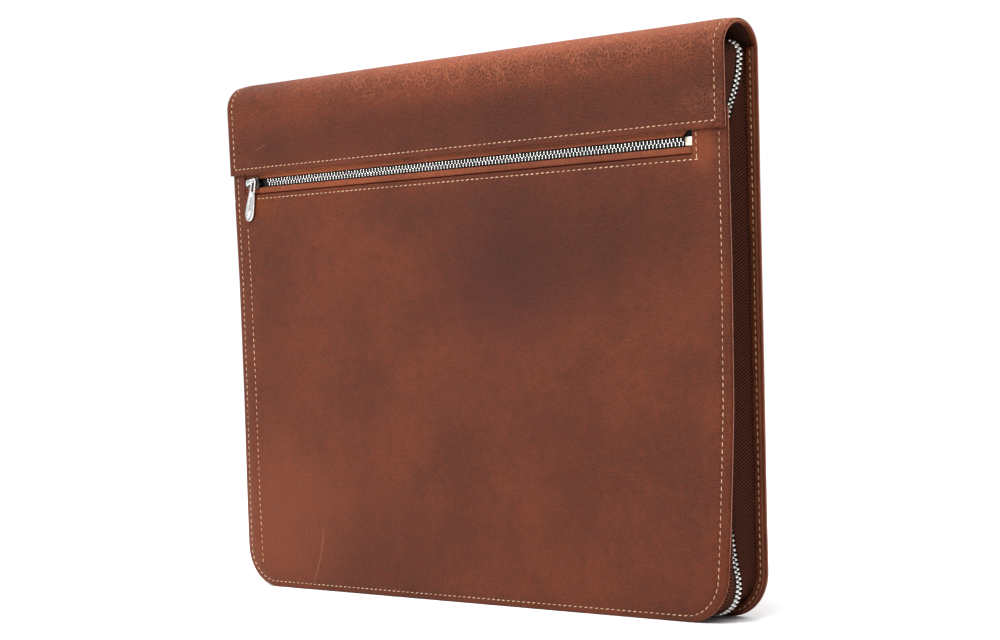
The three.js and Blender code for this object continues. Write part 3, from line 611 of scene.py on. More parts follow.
def dark_tape_material():
    """Nearly black woven tape."""
    nodes = Nodes("pocket_weave", Roughness=0.9)
    flat = nodes.vector("MULTIPLY", nodes.place, (1, 0, 1))
    threads = nodes.add("TexBrick", {
        "Vector": flat, "Scale": 900.0, "Color1": colour(30, 22, 20), "Color2": colour(22, 16, 15),
        "Mortar": colour(9, 7, 6), "Mortar Size": 0.03, "Brick Width": 0.6, "Row Height": 0.35})
    return nodes.finish(threads.outputs["Color"], nodes.bump(threads.outputs["Fac"], 0.4, -0.0001))


def lining_material():
    """Smooth dark brown inner side of the leather, its tone lowered further as painted shade for the
    shaded inside of the case.
    """
    nodes = Nodes("leather_lining", Roughness=0.75, Specular_IOR_Level=0.1)
    fibre = nodes.noise(420, 3)
    paint = nodes.mix(nodes.ramp(fibre, 0.3, 0.7), colour(40, 20, 14), colour(62, 32, 21))
    return nodes.finish(paint, nodes.bump(fibre, 0.3, 0.0001))


def cut_edge_material():
    """Dyed and burnished cut edge, its colour painted lighter as a painted highlight where the edges
    catch the light.
    """
    nodes = Nodes("cut_edge")
    fibre = nodes.noise(500, 3, place=nodes.vector("MULTIPLY", nodes.place, (1, 3, 1)))
    paint = nodes.mix(nodes.ramp(fibre, 0.3, 0.7), colour(136, 76, 52), colour(176, 108, 78))
    return nodes.finish(paint, nodes.bump(fibre, 0.2, 0.0001), nodes.ramp(fibre, 0.2, 0.8, 0.4, 0.6))


def metal_material(name, tone, rough):
    """Plated metal with fine wear."""
    nodes = Nodes(name, Metallic=1.0)
    wear = nodes.noise(700, 3, 0.6)
    worn = tuple(c * 0.86 for c in tone) + (1,)
    paint = nodes.mix(nodes.ramp(wear, 0.35, 0.7), tone + (1,), worn)
    rough = nodes.ramp(wear, 0.3, 0.75, rough, rough + 0.12)
    return nodes.finish(paint, nodes.bump(wear, 0.08, 0.00008), rough)


def thread_material():
    """Light tan waxed thread, twisted."""
    nodes = Nodes("tan_thread", Roughness=0.62)
    twist = nodes.bands(900, 2, nodes.place)
    tone = nodes.ramp(nodes.noise(60, 2), 0.3, 0.7)
    paint = nodes.mix(tone, colour(168, 132, 100), colour(206, 172, 138))
    paint = nodes.mix(nodes.ramp(twist, 0.3, 0.8, 0.25, 0), paint, colour(128, 86, 64))
    return nodes.finish(paint, nodes.bump(twist, 0.3, 0.0001))


def floor_material():
    nodes = Nodes("pale_floor", Roughness=0.6)
    tone = nodes.ramp(nodes.noise(3, 2), 0.3, 0.7)
    return nodes.finish(nodes.mix(tone, (0.95, 0.95, 0.95, 1), (0.97, 0.97, 0.97, 1)))


LEATHER_MATERIAL = leather_material("brown_leather", (76, 34, 18))
EDGE_MATERIAL = cut_edge_material()
LINING = lining_material()
FACING_MATERIAL = leather_material("facing_leather", (86, 43, 25), relief=0.3)
LIP_MATERIAL = leather_material("lip_leather", (104, 53, 33), relief=0.3)
TWILL = twill_material()
DARK_TAPE = dark_tape_material()
TOOTH_METAL = metal_material("tooth_metal", (0.93, 0.92, 0.89), 0.2)
SLIDER_METAL = metal_material("slider_metal", (0.8, 0.8, 0.8), 0.2)
STOP_METAL = metal_material("stop_metal", (0.66, 0.58, 0.48), 0.42)
# near-black metal: painted shade and dark reflection for the slider plate under the bridge
SHADED_METAL = metal_material("shaded_metal", (0.09, 0.085, 0.085), 0.35)
THREAD = thread_material()


# Camera, floor and light

CAMERA_LENS = 80.32
CAMERA_SENSOR = 36
CAMERA_PLACE = (0.83294, -0.87939, 0.16120)
CAMERA_TURNS = ((42.817, "Z"), (90 - 0.450, "X"), (-2.2075, "Z"))


def make_camera():
    """Camera fitted to the photo, almost level and a little rolled."""
    data = bpy.data.cameras.new("photo_camera")
    data.sensor_width = CAMERA_SENSOR
    data.lens = CAMERA_LENS
    data.clip_start = 0.05
    data.clip_end = 50
    camera = bpy.data.objects.new("photo_camera", data)
    turned = Matrix.Translation(CAMERA_PLACE)
    for degrees, axis in CAMERA_TURNS:
        turned = turned @ Matrix.Rotation(math.radians(degrees), 4, axis)
    camera.matrix_world = turned
    bpy.context.scene.collection.objects.link(camera)
    bpy.context.scene.camera = camera


def area_light(name, place, target, size, power):
    data = bpy.data.lights.new(name, "AREA")
    data.shape = "RECTANGLE"
    data.size, data.size_y = size
    data.energy = power
    light = bpy.data.objects.new(name, data)
    light.location = place
    light.rotation_euler = (Vector(target) - Vector(place)).to_track_quat("-Z", "Y").to_euler()
    bpy.context.scene.collection.objects.link(light)


WORLD_BACK = 1.1
WORLD_FRONT = 0.3
WORLD_TOP = 1.0


def world_light(world):
    """White behind the case and overhead, darker in the half of the room in front of it."""
    nodes = Tree(world.node_tree)
    way = nodes.add("TexCoord").outputs["Generated"]
    behind = nodes.vector("DOT_PRODUCT", way, (-0.68, 0.733, 0))
    white = nodes.ramp(behind, -0.2, 0.75, 0.0, WORLD_BACK - WORLD_FRONT)
    over = nodes.add("SeparateXYZ", {0: way}).outputs["Z"]
    lift = nodes.ramp(over, 0.35, 1.0, 0.0, WORLD_TOP)
    level = nodes.math("ADD", nodes.math("ADD", white, lift), WORLD_FRONT)
    background = world.node_tree.nodes["Background"]
    background.inputs["Color"].default_value = (1, 1, 1, 1)
    nodes.feed(background.inputs["Strength"], level)


def make_studio():
    mesh = bpy.data.meshes.new("studio_floor")
    reach = 6
    mesh.from_pydata([(-reach, -reach, 0), (reach, -reach, 0), (reach, reach, 0), (-reach, reach, 0)],
                     [], [(0, 1, 2, 3)])
    mesh.materials.append(floor_material())
    floor = bpy.data.objects.new("studio_floor", mesh)
    bpy.context.scene.collection.objects.link(floor)
    world = bpy.data.worlds.new("studio_world")
    world.use_nodes = True
    world_light(world)
    bpy.context.scene.world = world
    middle = (0, 0, 0.15)
    area_light("top_light", (0.1, -0.5, 1.6), middle, (1.2, 0.8), 24)
    area_light("front_light", (-0.7, -2.0, 1.5), middle, (1.0, 1.0), 60)
    bpy.context.scene.view_settings.view_transform = "Standard"


# The two large leather sheets

def steps(low, high, pitch):
    """Even values from low to high, both included."""
    count = max(1, round((high - low) / pitch))
    return [low + (high - low) * i / count for i in range(count + 1)]


# Insets of the rings along the outline, closer together at edges and seams
RINGS = (0, 0.12, 0.3, 0.55, 0.85, 1.3, 2, 2.6, 3, 3.4, 3.8, 4.2, 4.5, 4.8, 5.1, 5.4, 5.7, 6, 6.3, 6.7,
         7.4, 8.2, 9, 9.6, 10, 10.4, 10.7, 10.9, 11.1, 11.5, 11.9, 12.3, 13, 15, 17.5, 19.3, 20.2,
         20.7, 21.1, 21.3, 22.6, 24)
MIDDLE_PARTS = 150


def outline_stations(levels, shares):
    """Places along the outline, from the top right round to the top left."""
    turns = [i / 14 * math.pi / 2 for i in range(15)]
    stations = [("side", 1, t) for t in reversed(levels[1:])]
    stations += [("corner", 1, a) for a in turns]
    stations += [("bottom", 0, s) for s in reversed(shares[1:-1])]
    stations += [("corner", -1, a) for a in reversed(turns)]
    return stations + [("side", -1, t) for t in levels[1:]]


def ring_point(station, inset, half_width):
    """Flat point at an inset from a place along the outline."""
    kind, side, value = station
    if kind == "side":
        return side * (half_width(value) - inset), value
    if kind == "corner":
        reach = CORNER_RADIUS - inset
        return side * (CORNER_X + reach * math.cos(value)), CORNER_RADIUS - reach * math.sin(value)
    return value * CORNER_X, inset


def u_mesh(levels, half_width, skip=None):
    """Flat mesh of a sheet with a straight top and round bottom corners.

    levels are heights from the corners' top upwards. Rings follow the outline inwards,
    and a plain grid fills the middle. skip says which faces are left out.
    """
    shares = [2 * i / MIDDLE_PARTS - 1 for i in range(MIDDLE_PARTS + 1)]
    mesh = FlatMesh(3)

    def add_face(corners):
        middle = [sum(values) / len(corners) for values in zip(*corners)]
        if not (skip and skip(*middle)):
            mesh.add_face(corners)

    stations = outline_stations(levels, shares)
    for low, high in zip(RINGS, RINGS[1:]):
        for a, b in zip(stations, stations[1:]):
            add_face([ring_point(station, inset, half_width)
                      for station, inset in ((a, high), (b, high), (b, low), (a, low))])
    for t0, t1 in zip(levels, levels[1:]):
        w0, w1 = (half_width(t) - CORNER_RADIUS for t in (t0, t1))
        for s0, s1 in zip(shares, shares[1:]):
            add_face([(s0 * w0, t0), (s1 * w0, t0), (s1 * w1, t1), (s0 * w1, t1)])
    return mesh.points, mesh.faces


def edge_drop(distance):
    """How far a rounded edge falls back at a distance from the free edge."""
    if distance >= EDGE_ROUND:
        return 0
    return EDGE_ROUND - math.sqrt(EDGE_ROUND ** 2 - (EDGE_ROUND - max(0, distance)) ** 2)


def seam_inset(seam, x, z):
    """Inset of a sheet's seam, from its insets at the right, the bottom and the left."""
    side = seam[0] if x > 0 else seam[2]
    if z >= CORNER_RADIUS:
        return side
    past = max(0, abs(x) - CORNER_X)
    share = math.atan2(CORNER_RADIUS - z, past) / (math.pi / 2)
    return side + (seam[1] - side) * share


def groove(distance):
    return GROOVE_DEPTH * math.exp(-(distance / GROOVE_WIDTH) ** 2)


def slot_distance(x, z):
    """Distance outside the slot's rectangle, negative inside."""
    left = -(side_half_width(z) - SLOT_LEFT_INSET)
    right = side_half_width(z) - SLOT_RIGHT_INSET
    return max(left - x, x - right, SLOT_BOTTOM - z, z - SLOT_TOP)


def left_line_x(z):
    share = (z - LEFT_LINE_LOW[1]) / (LEFT_LINE_TOP[1] - LEFT_LINE_LOW[1])
    return LEFT_LINE_LOW[0] + (LEFT_LINE_TOP[0] - LEFT_LINE_LOW[0]) * share


def panel_relief(x, z):
    """How far the front panel's face lies behind its plain form."""
    deep = groove(inset_of(x, z) - seam_inset(PANEL_SEAM, x, z))
    if z < SLOT_BOTTOM + 8 and x < SLOT_RIGHT + RIGHT_STITCH + 2:
        deep = max(deep, groove(z - (SLOT_BOTTOM - SLOT_STITCH)))
    if LEFT_LINE_LOW[1] < z < LEFT_LINE_TOP[1]:
        deep = max(deep, groove(x - left_line_x(z)))
    return deep + 0.22 * wave(x, z) * smooth(3, 30, inset_of(x, z))


def panel_depth(x, z):
    return max(edge_drop(inset_of(x, z)), edge_drop(max(0, slot_distance(x, z))))


def panel_lean(x, z):
    """How far the panel's lower right margin is drawn in."""
    return read(MARGIN_LEAN, z, "lean") * smooth(CORNER_X - 60, CORNER_X, x)


def panel_point(x, z, depth):
    """Point of the panel at a depth behind its plain face."""
    return (x - panel_lean(x, z), panel_front(z) + front_roll(inset_of(x, z), z) + depth, z)


def make_front_panel():
    rows = [SLOT_BOTTOM - d for d in (3.9, 3.4, 3.0, 2.6, 2.2, 1.8, 1.4, 0.85, 0.55, 0.3, 0.12, 0)]
    levels = steps(CORNER_RADIUS, SLOT_BOTTOM - 5.1, 2.1) + rows
    levels += steps(SLOT_BOTTOM + 1.2, SLOT_TOP, 1.6) + steps(SLOT_TOP + 0.5, PANEL_TOP, 2.0)
    points, faces = u_mesh(levels, side_half_width, lambda x, z: slot_distance(x, z) < 0)
    panel = slab("leather_panel", points, faces,
                 lambda x, z: panel_point(x, z, panel_depth(x, z) + panel_relief(x, z)),
                 lambda x, z: panel_point(x, z, LEATHER - panel_depth(x, z)),
                 [LEATHER_MATERIAL, LINING, EDGE_MATERIAL])
    settle(panel, nodes=["front_panel"])


BACK_RUN = SPINE_LEVEL
SPINE_RUN = math.pi * HALF_DEPTH
WRAP_RUN = BACK_RUN + SPINE_RUN + SPINE_LEVEL - BAND_BOTTOM


def wrap_place(run):
    """Point and outward direction of the wrap's face: up the back, over, and down the front."""
    if run <= BACK_RUN:
        return HALF_DEPTH, run, 1.0, 0.0
    if run <= BACK_RUN + SPINE_RUN:
        angle = (run - BACK_RUN) / HALF_DEPTH
        ny, nz = math.cos(angle), math.sin(angle)
        return HALF_DEPTH * ny, SPINE_LEVEL + HALF_DEPTH * nz, ny, nz
    return -HALF_DEPTH, SPINE_LEVEL - (run - BACK_RUN - SPINE_RUN), -1.0, 0.0


def wrap_half_width(run):
    return side_half_width(wrap_place(run)[1])


def wrap_roll(x, run):
    z = wrap_place(run)[1]
    if run <= BACK_RUN:
        return back_roll(inset_of(x, run), run)
    inset = wrap_half_width(run) - abs(x)
    front = min(1, (run - BACK_RUN) / SPINE_RUN)
    level = min(z, SPINE_LEVEL)
    return front_roll(inset, level) * front + back_roll(inset, level) * (1 - front)


def wrap_inset(x, run):
    return inset_of(x, run) if run < CORNER_RADIUS else wrap_half_width(run) - abs(x)


def wrap_relief(x, run):
    deep = groove(wrap_inset(x, run) - seam_inset(WRAP_SEAM, x, run))
    if wrap_inset(x, run) > WRAP_SEAM[0]:
        deep = max(deep, groove(WRAP_RUN - run - BAND_STITCH))
    return deep + 0.2 * wave(x, run, 1.7) * smooth(3, 30, wrap_inset(x, run))


def wrap_point(x, run, depth):
    y, z, ny, nz = wrap_place(run)
    back = wrap_roll(x, run) + depth
    return (x, y - ny * back, z - nz * back)


def wrap_drop(x, run):
    return edge_drop(min(wrap_inset(x, run), WRAP_RUN - run))


def make_wrap():
    rows = [WRAP_RUN - d for d in (4.8, 4.2, 3.8, 3.4, 3.0, 2.6, 2.2, 1.5, 0.85, 0.55, 0.3, 0.12, 0)]
    levels = steps(CORNER_RADIUS, BACK_RUN, 3.2) + steps(BACK_RUN + 1.5, BACK_RUN + SPINE_RUN, 1.5)
    levels += steps(BACK_RUN + SPINE_RUN + 1.8, WRAP_RUN - 6.2, 1.9) + rows
    points, faces = u_mesh(levels, wrap_half_width)
    wrap = slab("leather_wrap", points, [tuple(reversed(f)) for f in faces],
                lambda x, t: wrap_point(x, t, wrap_drop(x, t) + wrap_relief(x, t)),
                lambda x, t: wrap_point(x, t, LEATHER - wrap_drop(x, t)),
                [LEATHER_MATERIAL, LINING, EDGE_MATERIAL, FACING_MATERIAL])
    for index, face in enumerate(faces):
        x, run = (sum(points[i][axis] for i in face) / len(face) for axis in (0, 1))
        if wrap_inset(x, run) < TURNED_MARGIN:
            wrap.data.polygons[index + len(faces)].material_index = 3
    settle(wrap, nodes=["outer_wrap"])


# What runs round the three open sides

def edge_route(pitch, curl=True, top=SPINE_LEVEL - CURL_DROP):
    """Stations from the top right, down, round and up to the top left."""
    route = []

    def add(x, z, in_x, in_z, table):
        depth = CHAIN_INSET * read(table, z, "depth")
        middle = gusset_middle(z) + CHAIN_LEAN * read(table, z, "lean")
        route.append({"x": x, "z": z, "in": (in_x, in_z), "chain": depth, "middle": middle})

    if curl:
        centre_x = CASE_WIDTH / 2 - CURL_RADIUS
        centre_z = SPINE_LEVEL - CURL_DROP
        for degrees in range(80, 0, -8):
            a = math.radians(degrees)
            add(centre_x + CURL_RADIUS * math.cos(a), centre_z + CURL_RADIUS * math.sin(a),
                -math.cos(a), -math.sin(a), CHAIN_RIGHT)
    levels = sorted({*steps(CORNER_RADIUS + pitch, top, pitch), STEP_BOTTOM, STEP_TOP}, reverse=True)
    for z in levels:
        add(side_half_width(z), z, -1, 0, CHAIN_RIGHT)
    for side, table in ((1, CHAIN_RIGHT), (-1, CHAIN_LEFT)):
        turns = [i / 12 * math.pi / 2 for i in range(13)]
        for a in turns if side > 0 else reversed(turns):
            add(side * (CORNER_X + CORNER_RADIUS * math.cos(a)), CORNER_RADIUS * (1 - math.sin(a)),
                -side * math.cos(a), math.sin(a), table)
        if side > 0:
            for x in reversed(steps(-CORNER_X, CORNER_X, pitch)[1:-1]):
                add(x, 0, 0, 1, table)
    for z in reversed(levels):
        add(-side_half_width(z), z, 1, 0, CHAIN_LEFT)
    return route


def section_point(station, inset, y):
    return (station["x"] + station["in"][0] * inset, y, station["z"] + station["in"][1] * inset)


def tape_line(station, start, width, face, inward, index):
    """Section of a zip tape: flat under its margin, then across to the chain."""
    z = station["z"]
    end = start + width
    seat = face(end, z) + inward * (TAPE_GAP + TAPE_THICKNESS / 2)
    chain_side = station["middle"] - inward * (CHAIN_WIDTH / 2 + TAPE_GAP)
    turn = end + TAPE_THICKNESS
    gap = chain_side - seat
    depth = station["chain"]
    keys = [(start, face(start, z) + inward * (TAPE_GAP + TAPE_THICKNESS / 2)), (end, seat),
            (turn, seat + gap * 0.16), (turn + (depth - turn) * 0.4, seat + gap * 0.48),
            (depth, chain_side)]
    line = []
    for (i0, y0), (i1, y1) in zip(keys, keys[1:]):
        for part in (0, 1 / 3, 2 / 3):
            line.append((i0 + (i1 - i0) * part, y0 + (y1 - y0) * part))
    line.append(keys[-1])
    eased = [line[0]]
    for a, b, c in zip(line, line[1:], line[2:]):
        eased.append(((a[0] + 2 * b[0] + c[0]) / 4, (a[1] + 2 * b[1] + c[1]) / 4))
    eased.append(line[-1])
    slack = 0.3 * math.sin(index * 0.37) + 0.2 * math.sin(index * 0.91 + 1)
    count = len(eased) - 1
    return [(i + slack * math.sin(math.pi * k / count) * 0.6, y) for k, (i, y) in enumerate(eased)]


def make_tapes():
    route = edge_route(3.0)
    margins = (("zip_tape_front", "gusset_tape_front", 2.4, 4.0, front_inner, 1),
               ("zip_tape_back", "gusset_tape_back", 5.8, 1.0, back_inner, -1))
    for name, node, start, width, face, inward in margins:
        grid = []
        for index, station in enumerate(route):
            line = tape_line(station, start, width, face, inward, index)
            grid.append([section_point(station, i, y) for i, y in line])
        tape = strip(name, grid, TAPE_THICKNESS - 0.2, [TWILL, TWILL, TWILL])
        settle(tape, nodes=[node])


# Facing's face from its outer to its inner edge: share of its width, and how far it falls back
FACING_FACE = ((0, 0.5), (0.06, 0.15), (0.15, 0), (0.3, 0), (0.38, 0), (0.46, 0), (0.7, 0), (0.85, 0),
               (0.94, 0.15), (1, 0.5))


def facing_ring(station):
    """Section of the facing at one place along the route."""
    z = min(station["z"], SPINE_LEVEL)
    ring = []
    for share, fall in FACING_FACE:
        inset = FACING_START + share * FACING_WIDTH
        fall += groove(inset - FACING_STITCH) * 0.8
        ring.append((inset, back_inner(inset, z) - GAP - FACING_LEATHER + fall))
    for share in (1, 0.75, 0.4, 0):
        inset = FACING_START + share * FACING_WIDTH
        ring.append((inset, back_inner(inset, z) - GAP))
    return [section_point(station, i, y) for i, y in ring]


def make_facing():
    """Leather strip sewn inside the back panel's margin."""
    route = edge_route(3.0, curl=False, top=SPINE_LEVEL + 1.5)
    sweep("leather_facing", [facing_ring(s) for s in route], FACING_MATERIAL, "back_facing")


def walk(points, pitch, start=0.0):
    """Places at even distances along a line of points, each with its direction and key share."""
    places = []
    wanted = start
    run = 0.0
    for i, (a, b) in enumerate(zip(points, points[1:])):
        length = (b - a).length
        while length > 0 and wanted <= run + length:
            share = (wanted - run) / length
            places.append((a.lerp(b, share), (b - a).normalized(), i + share))
            wanted += pitch
        run += length
    return places


def make_main_chain():
    """Two rows of teeth along the closed chain."""
    route = [s for s in edge_route(2.0) if s["x"] > 0 or s["z"] < MAIN_SLIDER_FOOT]
    path = [Vector(section_point(s, s["chain"], s["middle"])) for s in route]
    teeth = Parts()
    for index, (place, along, key) in enumerate(walk(path, TOOTH_PITCH / 2, 0.6)):
        in_x, in_z = route[int(key)]["in"]
        out = Vector((-in_x, 0, -in_z))
        out = (out - along * out.dot(along)).normalized()
        across = out.cross(along)
        row = -MAIN_ROW if index % 2 else MAIN_ROW
        teeth.block(place + across * row, MAIN_TOOTH, 0.24, (along, across, out))
    teeth.settle("main_teeth", TOOTH_METAL, "silver_metal", ["main_chain"])


# The pocket's zip

def lip_ring(x, edge, slot_edge, away):
    """Section of a folded lip at one place along it."""
    nose_end = slot_edge - away * 0.55
    swell = 0.12 * math.sin(x * 0.045) + 0.08 * math.sin(x * 0.13 + 1)
    front = LIP_NOSE_FRONT + 0.1 + swell * 0.5
    ring = [(LIP_FRONT + 1.3, slot_edge + away * 5.5), (LIP_FRONT + 1.3, edge)]
    radius = 0.75
    for part in range(7):
        a = part / 6 * math.pi / 2
        ring.append((front + radius * (1 - math.sin(a)), edge + away * radius * (1 - math.cos(a))))
    middle = (edge + nose_end) / 2
    ring.append((front - 0.05, middle))
    for part in range(5):
        a = part / 4 * math.pi / 2
        ring.append((front + 0.5 * (1 - math.cos(a)), nose_end - away * 0.5 * (1 - math.sin(a))))
    ring += [(LIP_FRONT, nose_end), (LIP_FRONT, slot_edge + away * 5.5)]
    return [(x, y, z) for y, z in ring]


def make_lips():
    left, right = SLOT_LEFT + GAP, SLOT_RIGHT - GAP
    lower_edge = TEETH_CENTRE - TEETH_WIDTH / 2 - GAP
    upper_edge = TEETH_CENTRE + TEETH_WIDTH / 2 + GAP
    rings = [lip_ring(x, lower_edge, SLOT_BOTTOM, -1) for x in steps(left, right, 2.5)]
    sweep("pocket_lip_low", rings, LIP_MATERIAL, "pocket_lip_lower")
    start = right - 6.5
    rings = [lip_ring(x, upper_edge, SLOT_TOP, 1) for x in steps(left, start, 2.5)]
    slant = []
    for x, y, z in lip_ring(start, upper_edge, SLOT_TOP, 1):
        lean = min(1, max(0, (z - upper_edge) / (SLOT_TOP - upper_edge)))
        slant.append((start + 6 * lean, y, z))
    rings.append(slant)
    sweep("pocket_lip_high", [r[::-1] for r in rings], LIP_MATERIAL, "pocket_lip_upper")


def make_pocket_teeth():
    """Two rows of teeth, the dark cord that they are clamped on, and the end stop."""
    teeth = Parts()
    y = TEETH_FRONT + 0.3
    for tooth in range(TOOTH_COUNT):
        for row, shift in ((POCKET_ROW, 0.25), (-POCKET_ROW, 0.75)):
            x = TEETH_LEFT + (tooth + shift) * TOOTH_PITCH
            teeth.block((x, y, TEETH_CENTRE + row), POCKET_TOOTH, 0.1)
    teeth.settle("pocket_teeth", TOOTH_METAL, "silver_metal", ["pocket_chain"])
    cord = Parts()
    front = y + 0.3
    reach = TOOTH_COUNT * TOOTH_PITCH / 2
    cord.block((TEETH_LEFT + reach, (front + TEETH_BACK) / 2, TEETH_CENTRE),
               (reach, (TEETH_BACK - front) / 2, 2.2), 0.2)
    cord.settle("teeth_cord", DARK_TAPE, "black_tape")
    stop = Parts()
    stop.block((158.8, -10.4, TEETH_CENTRE), (2.4, 1.25, 2.3), 0.35)
    stop.settle("end_stop", STOP_METAL, "silver_metal", ["pocket_end_stop"])


def rounded_bar(centre, width_axis, depth_axis, width, depth):
    """Ring of a bar's section with well rounded corners."""
    ring = []
    for k in range(16):
        a = 2 * math.pi * (k + 0.5) / 16
        c, s = math.cos(a), math.sin(a)
        u = math.copysign(abs(c) ** 0.55, c) * width / 2
        v = math.copysign(abs(s) ** 0.55, s) * depth / 2
        ring.append(Vector(centre) + Vector(width_axis) * u + Vector(depth_axis) * v)
    return ring


# Slider plate's upper outline from its left end, and its section from back to front
PLATE_OUTLINE = ((0, 1.9), (1.6, 2.7), (3.4, 3.4), (7.2, 3.4), (10.4, 3.4), (11.1, 3.1), (11.4, 2.4),
                 (11.4, 0))
PLATE_SECTION = ((0.97, PLATE_BACK), (1, PLATE_BACK - 0.2), (1, PLATE_FRONT + 0.45),
                 (0.97, PLATE_FRONT + 0.15), (0.9, PLATE_FRONT), (0.6, PLATE_FRONT - 0.08))


def make_slider_plate():
    """Shield-shaped plate over the lips, and a body between them."""
    plate = Parts()
    middle = (SLIDER_LEFT + SLIDER_RIGHT) / 2
    outline = PLATE_OUTLINE + tuple((x, -z) for x, z in reversed(PLATE_OUTLINE[:-1]))
    plate.tube([[Vector((middle + (SLIDER_LEFT + x - middle) * share, y, TEETH_CENTRE + z * share))
                 for x, z in outline] for share, y in PLATE_SECTION])
    plate.block((-165.1, (PLATE_BACK + TEETH_BACK) / 2, TEETH_CENTRE), (4.7, 1.4, 2.0), 0.5)
    plate.settle("slider_plate", SHADED_METAL, "silver_metal", ["pocket_slider"])


def make_slider_bridge():
    """Bent bar over the plate, wide at its left foot and slim at the pull's post."""
    front = (BRIDGE_BACK + BRIDGE_FRONT) / 2
    route = ((BRIDGE_LEFT + 0.6, -12.8, 1.7), (BRIDGE_LEFT + 0.5, -13.9, 2.2),
             (BRIDGE_LEFT + 0.6, -15, 3.0), (BRIDGE_LEFT + 1.1, front, 3.4),
             (BRIDGE_LEFT + 2.2, front - 0.02, 3.4), (POST_X - 1.6, front - 0.02, 2.8),
             (POST_X - 0.6, front, 2.3), (POST_X, front + 0.35, 1.6), (POST_X + 0.1, -14.6, 1.3),
             (POST_X, -12.9, 1.3))
    rings = []
    for index, (x, y, width) in enumerate(route):
        before = route[max(0, index - 1)]
        after = route[min(len(route) - 1, index + 1)]
        along = Vector((after[0] - before[0], after[1] - before[1], 0)).normalized()
        sag = BRIDGE_SAG * (POST_X - x) / (POST_X - BRIDGE_LEFT)
        centre = (x, y, BRIDGE_MIDDLE - sag)
        rings.append(rounded_bar(centre, AXES[2], along.cross(AXES[2]), width, 0.95))
    bridge = Parts()
    bridge.tube(rings)
    bridge.settle("slider_bridge", SLIDER_METAL, "silver_metal")


# Half width of the pull as a share of PULL_HALF, by share of its length
PULL_SHAPE = ((0, 0.57), (0.27, 0.62), (0.33, 0.70), (0.60, 0.92), (0.78, 1.0), (0.88, 0.93),
              (0.95, 0.70), (0.985, 0.42), (1.0, 0.0))
PULL_REACH = PULL_LENGTH - PULL_CROWN
PULL_ROUND = 0.42


def pull_half_width(down):
    """Half width of the pull at a distance below its post."""
    if down < 0:
        return math.sqrt(max(0, PULL_CROWN ** 2 - down ** 2))
    share = down / PULL_REACH
    for (s0, w0), (s1, w1) in zip(PULL_SHAPE, PULL_SHAPE[1:]):
        if share <= s1:
            return PULL_HALF * (w0 + (w1 - w0) * (share - s0) / (s1 - s0))
    return 0


def window_half_width(down):
    """Half width of the pull's window, round at both ends."""
    past = min(down, 0) + max(down - PULL_WINDOW + PULL_SLACK, 0)
    return math.sqrt(max(0, PULL_SLACK ** 2 - past ** 2))


def pull_mesh():
    """Flat mesh of the pull, across from its axis and down from its post."""
    rows = sorted({*(-PULL_CROWN * math.cos(i / 10 * math.pi / 2) for i in range(11)),
                   *steps(0, PULL_WINDOW, 0.4), *steps(PULL_WINDOW - 1, PULL_WINDOW, 0.12),
                   *steps(-PULL_SLACK, 0, 0.12), *steps(PULL_WINDOW, PULL_REACH, 0.25),
                   *steps(PULL_REACH - 0.8, PULL_REACH, 0.1)})
    shares = (0, 0.04, 0.1, 0.18, 0.28, 0.4, 0.55, 0.7, 0.8, 0.88, 0.94, 0.98, 1)
    mesh = FlatMesh(4)
    for rows_here in zip(rows, rows[1:]):
        for side in (1, -1):
            above, below = [], []
            for line, down in zip((above, below), rows_here):
                high = pull_half_width(down)
                low = min(window_half_width(down), high)
                line += [(side * (low + (high - low) * s), down) for s in shares]
            for corners in zip(below, below[1:], above[1:], above):
                mesh.add_face(corners[::side])
    return mesh.points, mesh.faces


def pull_drop(u, down):
    """How far the pull's rounded edges fall back."""
    hole = abs(u) - window_half_width(down) if -PULL_SLACK <= down <= PULL_WINDOW else 9
    near = max(0, min(pull_half_width(down) - abs(u), hole, (PULL_REACH - down) * 0.8,
                      down + PULL_CROWN))
    return PULL_ROUND - math.sqrt(PULL_ROUND ** 2 - max(0, PULL_ROUND - near) ** 2)


def pull_point(u, down, depth):
    """Point of the pull behind its face, turned by its slant."""
    turn = math.radians(PULL_SLANT)
    x = POST_X + u * math.cos(turn) - down * math.sin(turn)
    z = BRIDGE_MIDDLE - u * math.sin(turn) - down * math.cos(turn)
    return (x, BRIDGE_BACK + GAP + depth, z)


def pull_face(u, down):
    """Face with a shallow dish, and a leaf-shaped hollow near the tip."""
    share = down / PULL_REACH
    dish = 0.3 * smooth(PULL_WINDOW, PULL_WINDOW + 3, down) * smooth(PULL_REACH, PULL_REACH - 4, down)
    dish *= 1 - smooth(0.25, 0.75, abs(u) / max(0.1, pull_half_width(down)))
    middle = 0.5 - (share - 0.72) * PULL_REACH * 0.21
    leaf = 0.62 * smooth(0.7, 0.78, share) * (1 - smooth(0.88, 0.94, share))
    leaf *= 1 - smooth(0.2, 0.75, abs(u - middle) / 0.9)
    return pull_point(u, down, pull_drop(u, down) + max(dish, leaf))


def make_pull():
    """Slotted tab that hangs on the bridge."""
    pull = slab("pull_tab", *pull_mesh(), pull_face,
                lambda u, down: pull_point(u, down, PULL_THICKNESS - pull_drop(u, down)),
                [SLIDER_METAL] * 3)
    settle(pull, "pull", ["pocket_pull"])


def finish_carried_nodes():
    """Node materials on the CAD pieces that stay as they are."""
    for node, material in (("pocket_tape", DARK_TAPE), ("main_slider", SLIDER_METAL)):
        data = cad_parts[node].data
        data.materials.clear()
        data.materials.append(material)


# Stitches

